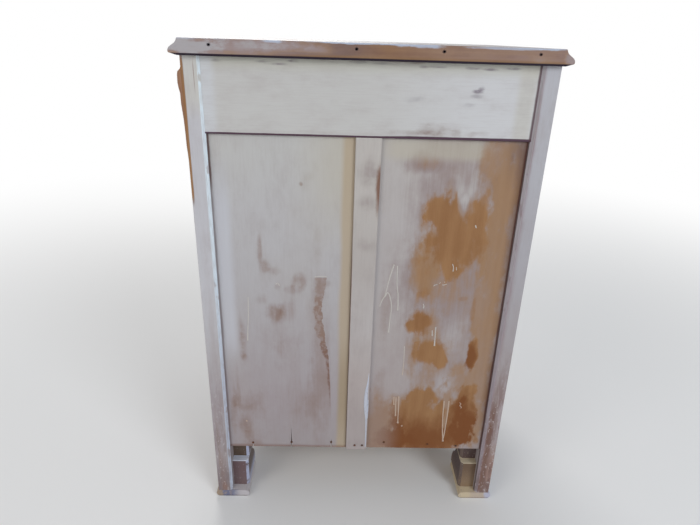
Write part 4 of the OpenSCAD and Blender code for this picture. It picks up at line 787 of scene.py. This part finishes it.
def rear_pad(name, seed, side, upper, rear, corner):
    """Bull-nosed pad under a back foot, with painted light and shade: a lit tone above and inside, a shaded
    one behind, and a lit outer corner.
    """
    f = on_wood(name, "y", seed)
    reach = f.sum(f.stray(12, 80, 4, seed + 2), (f.x, side))
    behind = f.times(f.ease(f.y, BACK - 2.5, BACK - 0.5), f.ease(reach, INNER - 15, INNER + 2))
    tone = f.mix(upper, rear, behind)
    tone = f.mix(tone, corner, f.ease(reach, OUTER - 9, OUTER - 4))
    paint(f, f.sum(0.98, (f.patches(0.5, 0.68, 60, 5, seed + 6), -0.35)), tone)
    f.lay(upper, f.patches(0.6, 0.68, 420, 2, seed + 5), 0.35)
    f.lay(GRIME_AND_SHADE, f.strip(f.z, 0.0, 1.6, 0.8), 0.6)
    return f.done()


# ---- thick paint that ran down the back: raised beads, made along their paths ----
# Each bead is a list of (x, z, half width), from where it starts to where it stopped.

PANEL_RUNS = [
    [(-62.5, 212, 1.3), (-63, 195, 1.1), (-63.5, 181, 1), (-64, 174, 1.5)],
    [(-67, 214, 1.3), (-68, 190, 1.1), (-68.5, 168, 0.8), (-69, 159, 1.5)],
    [(-59, 213, 1.3), (-59.5, 203, 0.8), (-60, 197, 1.3)], [(-75.5, 154.5, 1.4), (-76.5, 152.5, 1.3)],
    [(-68.8, 163, 0.7), (-68.4, 160, 1.7)],
    [(-143, 206, 1.3), (-143.8, 175, 1), (-146, 145, 1), (-148.2, 128, 1.1), (-148.8, 121.5, 1.8)],
    [(-151, 206, 1.3), (-151, 175, 1), (-150, 145, 1), (-149, 128, 1)],
    [(-45, 450, 1.1), (-40, 430, 1), (-36, 408, 0.8), (-34, 397, 1), (-38, 404, 0.8), (-42, 396, 0.8),
     (-45, 380, 0.8), (-44, 355, 0.8), (-43, 335, 1.3)],
    [(-34, 398, 0.8), (-30, 390, 0.8), (-27, 380, 0.7)],
    [(-50, 448, 1), (-51, 420, 0.8), (-54, 398, 0.8), (-55, 374, 1.3)],
    [(-70, 310, 0.7), (-70.5, 280, 0.7), (-70, 256, 1)],
    [(-116, 346, 1), (-116.5, 328, 0.8), (-117, 312, 1.3)], [(-111, 340, 0.7), (-112, 330, 1)],
    [(-131, 453, 0.5), (-133, 447, 0.6), (-133, 441, 0.7)], [(-137, 448, 0.4), (-138, 443, 0.5)],
    [(-157.5, 514, 0.5), (-158.5, 511.5, 1), (-159.5, 509.5, 0.5)],
    [(-169, 203, 0.6), (-171.5, 200.5, 0.7), (-170, 197, 0.6), (-173, 194, 0.7), (-172, 191.5, 0.5)],
    [(-93, 386, 0.5), (-94.5, 382, 0.8), (-94, 378.5, 1.1)],
    [(-126, 420, 0.4), (-122, 418.5, 0.6), (-119, 418.5, 0.4)],
    [(-112, 419, 0.4), (-108, 418, 0.6), (-106, 416, 0.4)], [(-116, 423, 0.4), (-115, 420.5, 0.5)],
    [(-122, 424, 0.4), (-123, 422, 0.4)],
    [(172, 392, 0.7), (173, 360, 0.7), (175, 335, 0.7), (176, 316, 1)],
    [(53, 428, 0.8), (62, 428.5, 0.7), (72, 427.5, 0.8)], [(185.5, 161, 1.1), (184.8, 158.5, 1.3)],
    [(130, 414, 0.7), (127, 416, 0.7), (124, 412, 0.7)]]
MUNTIN_RUNS = [
    [(-15.6, 262, 0.3), (-14.8, 245, 1.2), (-13, 225, 2.7), (-12.6, 205, 3.3), (-13.2, 188, 2.7),
     (-14.6, 168, 1.3), (-15.2, 140, 1), (-15.4, 112, 0.8)],
    [(-16.4, 210, 0.6), (-16.6, 190, 0.9), (-16.4, 172, 0.5)]]
RUN_CREAM = (0.51, 0.48, 0.45)
RUN_TAN = (0.48, 0.36, 0.28)  # low down, over bare wood
RUN_SIZES = {"Sides": 10, "Step": 1.2 * MM, "Flatness": 0.42}


def run_paint():
    """Thick paint: cream high up, tan low down, and a painted bluish highlight along the muntin."""
    f = Finish("paint, runs", specular=0.5)
    tint = f.mix(RUN_CREAM, RUN_TAN, f.ease(f.z, 340, 200))
    # Painted highlight: bluish light on the runs along the muntin.
    tint = f.mix(tint, WINDOW_LIGHT_BLUE, f.ease(f.size(f.add(f.x, 14)), 6, 4), 0.85)
    f.colour = f.mix(tint, PAINT_THIN, f.patches(0.52, 0.72, 300, 3, 5), 0.35)
    f.relief = f.times(f.noise(500, 2, 9), 0.03)
    f.roughness = 0.42
    return f.done()


def run_tree():
    """Geometry nodes that turn paths into flat beads: each point's width and face are its attributes."""
    tree = bpy.data.node_groups.new("paint runs", "GeometryNodeTree")
    kinds = {"Geometry": "Geometry", "Sides": "Int", "Step": "Float", "Flatness": "Float",
             "Paint": "Material"}
    for name, kind in kinds.items():
        tree.interface.new_socket(name, in_out="INPUT", socket_type="NodeSocket" + kind)
    tree.interface.new_socket("Geometry", in_out="OUTPUT", socket_type="NodeSocketGeometry")
    n = Nodes(tree)
    given = n.node("NodeGroupInput")
    width, face = (n.node("GeometryNodeInputNamedAttribute", {"Name": name}, data_type="FLOAT")["Attribute"]
                   for name in ("width", "face"))
    path = n.node("GeometryNodeMeshToCurve", {"Mesh": given["Geometry"]})[0]
    smooth = n.node("GeometryNodeCurveSplineType", {"Curve": path}, spline_type="CATMULL_ROM")[0]
    even = n.node("GeometryNodeResampleCurve", {"Curve": smooth, "Length": given["Step"]}, mode="LENGTH")[0]
    circle = {"Radius": 1.0, "Resolution": given["Sides"]}
    ring = n.node("GeometryNodeCurvePrimitiveCircle", circle, mode="RADIUS")["Curve"]
    sweep = {"Curve": even, "Profile Curve": ring, "Scale": width, "Fill Caps": True}
    bead = n.node("GeometryNodeCurveToMesh", sweep)[0]
    x, y, z = n.node("ShaderNodeSeparateXYZ", {0: n.node("GeometryNodeInputPosition")[0]})
    flat = n.sum(face, (n.less(y, face), given["Flatness"]))
    place = n.node("ShaderNodeCombineXYZ", {"X": x, "Y": flat, "Z": z})[0]
    pressed = n.node("GeometryNodeSetPosition", {"Geometry": bead, "Position": place})[0]
    whole = n.node("GeometryNodeRealizeInstances", {"Geometry": pressed})[0]
    painted = n.node("GeometryNodeSetMaterial", {"Geometry": whole, "Material": given["Paint"]})[0]
    n.node("NodeGroupOutput", {"Geometry": painted})
    return tree


def put(name, data):
    """An object in the scene that holds the data."""
    made = bpy.data.objects.new(name, data)
    bpy.context.scene.collection.objects.link(made)
    return made


def paint_runs():
    """The runs and flecks of thick paint on the two panels and the muntin, as one plain mesh."""
    points, edges, widths, faces = [], [], [], []
    for runs, face in ((PANEL_RUNS, PANEL_FACE), (MUNTIN_RUNS, MUNTIN_FACE)):
        for run in runs:
            first = len(points)
            points += [(x * MM, face * MM, z * MM) for x, z, _ in run]
            widths += [width * MM for _, _, width in run]
            faces += [face * MM] * len(run)
            edges += [(number, number + 1) for number in range(first, len(points) - 1)]
    paths = bpy.data.meshes.new("paint run paths")
    paths.from_pydata(points, edges, [])
    for name, values in (("width", widths), ("face", faces)):
        paths.attributes.new(name, "FLOAT", "POINT").data.foreach_set("value", values)
    maker = put("paint run paths", paths)
    modifier = maker.modifiers.new("runs", "NODES")
    modifier.node_group = run_tree()
    given = {**RUN_SIZES, "Paint": run_paint()}
    for socket in modifier.node_group.interface.items_tree:
        if socket.in_out == "INPUT" and socket.name in given:
            modifier[socket.identifier] = given[socket.name]
    ready = maker.evaluated_get(bpy.context.evaluated_depsgraph_get())
    mesh = bpy.data.meshes.new_from_object(ready)
    bpy.data.objects.remove(maker)
    mesh.name = "paint_runs"
    mesh.shade_smooth()
    runs = put("paint_runs", mesh)
    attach(runs, "carcass")


# ---- giving every node its finish ----

PAINTED = {
    "front_apron": "x", "pad_front_right": "y", "pad_front_left": "y", "front_top_rail": "x",
    "drawer_rail": "x", "drawer_front": "x", "door_hinge_stile": "z", "door_latch_stile": "z",
    "door_top_rail": "x", "door_bottom_rail": "x", "door_panel": "z", "door_beads": "z",
    "drawer_knob": "y", "latch_knob": "y"}        # each piece's grain
BARE_BEHIND = {"front_apron", "front_top_rail", "drawer_rail", "drawer_front"}
UNPAINTED = {
    "bottom_board": "x", "apron_glue_blocks": "x", "front_block_right": "z", "front_block_left": "z",
    "runner_right": "y", "runner_left": "y", "kicker_right": "y", "kicker_left": "y", "dust_board": "x",
    "drawer_stops": "x", "door_stop": "x", "shelf": "x", "shelf_bearer_right": "y", "shelf_bearer_left": "y",
    "drawer_side_right": "y", "drawer_side_left": "y", "drawer_back": "x", "drawer_bottom": "x"}
OF_BRASS = ["hinge_side_leaves", "hinge_door_leaves", "hinge_pins", "hinge_side_screws", "hinge_door_screws",
            "latch_spindle", "latch_tongue", "latch_keeper", "keeper_screws"]
OF_IRON = ["back_nails", "top_screws", "drawer_bottom_nails", "drawer_knob_screw"]


def give(node, material):
    """Replaces a node's material."""
    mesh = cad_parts[node].data
    mesh.materials.clear()
    mesh.materials.append(material)


def dress_nodes():
    """Gives each of the cupboard's pieces its own material."""
    give("back_panel_left", left_panel())
    give("back_panel_right", right_panel())
    give("back_muntin", muntin())
    give("back_rail", back_rail())
    give("top_board", top_board())
    give("side_right", side_board(
        "paint, right side", 11, 1, right_stile, RIGHT_STILE_STAIN, RIGHT_STILE_MARK, 0.3, 0.9))
    give("side_left", side_board(
        "paint, left side", 12, -1, left_stile, LEFT_STILE_STAIN, LEFT_STILE_MARK, 0.8, 0.2))
    strip = on_wood("bare wood, sprung strip", "z", 13, STRIP_LIGHT, STRIP_DARK, 0.75)
    give("side_split_strip", strip.done())
    for number, (side, sign) in enumerate({"right": 1, "left": -1}.items()):
        give("rear_foot_block_" + side, rear_foot("foot block, " + side, 14 + number, **FOOT_LIT_AND_SHADED_TONES[side]))
        give("pad_rear_" + side, rear_pad("pad, back " + side, 16 + number, sign, **PAD_LIT_AND_SHADED_TONES[side]))
    for seed, (node, grain) in enumerate(PAINTED.items(), 20):
        give(node, worn_paint(node, grain, seed, node in BARE_BEHIND))
    for seed, (node, grain) in enumerate(UNPAINTED.items(), 50):
        give(node, raw_pine(node, grain, seed))
    for seed, node in enumerate(OF_BRASS, 80):
        give(node, aged_metal(label("brass", node), BRASS, BRASS_DULL, seed, 0.9))
    for seed, node in enumerate(OF_IRON, 90):
        give(node, aged_metal(label("iron", node), IRON, RUST, seed, 0.6))


# ---- camera, light and floor, in metres ----

LENS = 27.216  # millimetres
SENSOR = 36.0
EYE = Vector((0.039, BACK * MM + 0.7065, 0.7561))  # where the photograph was taken from
YAW, PITCH, ROLL = -1.5119, 23.0552, 1.7675  # degrees
FLOOR_REACH = 9.0
FLOOR_FADE = (0.7, 2.6)  # metres out, where it starts to turn white and where it is white
LAMP_AIM = (0.0, 0.0, 0.4)
LAMPS = {  # place, width, power, colour
    "window lamp": ((-1.9, 2.6, 1.9), 1.6, 48.0, (0.9, 0.95, 1.0)),
    "room lamp": ((2.2, 2.2, 1.5), 1.8, 24.0, (1.0, 0.95, 0.88)),
    "front lamp": ((0.6, -2.8, 2.0), 1.8, 50.0, (1.0, 0.98, 0.95))}


def make_camera():
    """Camera where the photograph was taken from."""
    yaw, pitch, roll = (math.radians(angle) for angle in (YAW, PITCH, ROLL))
    ahead = Vector((math.sin(yaw) * math.cos(pitch), -math.cos(yaw) * math.cos(pitch), -math.sin(pitch)))
    level = ahead.cross(Vector((0, 0, 1))).normalized()
    above = level.cross(ahead)
    right = level * math.cos(roll) + above * math.sin(roll)
    up = above * math.cos(roll) - level * math.sin(roll)
    data = bpy.data.cameras.new("camera")
    data.lens = LENS
    data.sensor_width = SENSOR
    data.clip_start = 0.01
    camera = put("camera", data)
    camera.matrix_world = Matrix.Translation(EYE) @ Matrix((right, up, -ahead)).transposed().to_4x4()
    bpy.context.scene.camera = camera


def make_lamps():
    """Two large soft lamps behind the cupboard and one in front of it."""
    for name, (place, width, power, colour) in LAMPS.items():
        data = bpy.data.lights.new(name, "AREA")
        data.shape = "DISK"
        data.size = width
        data.energy = power
        data.color = colour
        lamp = put(name, data)
        lamp.location = place
        lamp.rotation_euler = (Vector(LAMP_AIM) - Vector(place)).to_track_quat("-Z", "Y").to_euler()


def make_sky():
    """Pale sky that lights the cupboard and shows as plain white."""
    world = bpy.data.worlds.new("pale sky")
    world.use_nodes = True
    world.node_tree.nodes.clear()
    n = Nodes(world.node_tree)
    rays = n.node("ShaderNodeLightPath")
    seen = n.most(rays["Is Camera Ray"], rays["Is Glossy Ray"])
    light = n.node("ShaderNodeBackground", {"Color": SKY, "Strength": 0.41})[0]
    white = n.node("ShaderNodeBackground", {"Color": WHITE, "Strength": 1.0})[0]
    sky = n.node("ShaderNodeMixShader", {0: seen, 1: light, 2: white})[0]
    n.node("ShaderNodeOutputWorld", {"Surface": sky})
    bpy.context.scene.world = world


def make_floor():
    """Pale floor that keeps the shadow near the cupboard and fades to white far from it."""
    mesh = bpy.data.meshes.new("floor")
    corners = [(x * FLOOR_REACH, y * FLOOR_REACH, 0) for x, y in ((-1, -1), (1, -1), (1, 1), (-1, 1))]
    mesh.from_pydata(corners, [], [(0, 1, 2, 3)])
    f = Finish("floor", specular=0.0)
    distance = f.node("ShaderNodeVectorMath", {0: f.place}, operation="LENGTH")["Value"]
    shown = f.times(f.ease(distance, *FLOOR_FADE), f.node("ShaderNodeLightPath")["Is Camera Ray"])
    f.surface.update({"Emission Color": WHITE, "Emission Strength": shown})
    f.colour = f.mix(FLOOR_GREY, BLACK, shown)
    f.roughness = 0.9
    mesh.materials.append(f.done())
    put("floor", mesh)


make_camera()
make_lamps()
make_sky()
make_floor()
dress_nodes()
paint_runs()

scene = bpy.context.scene
scene.view_settings.view_transform = "Standard"
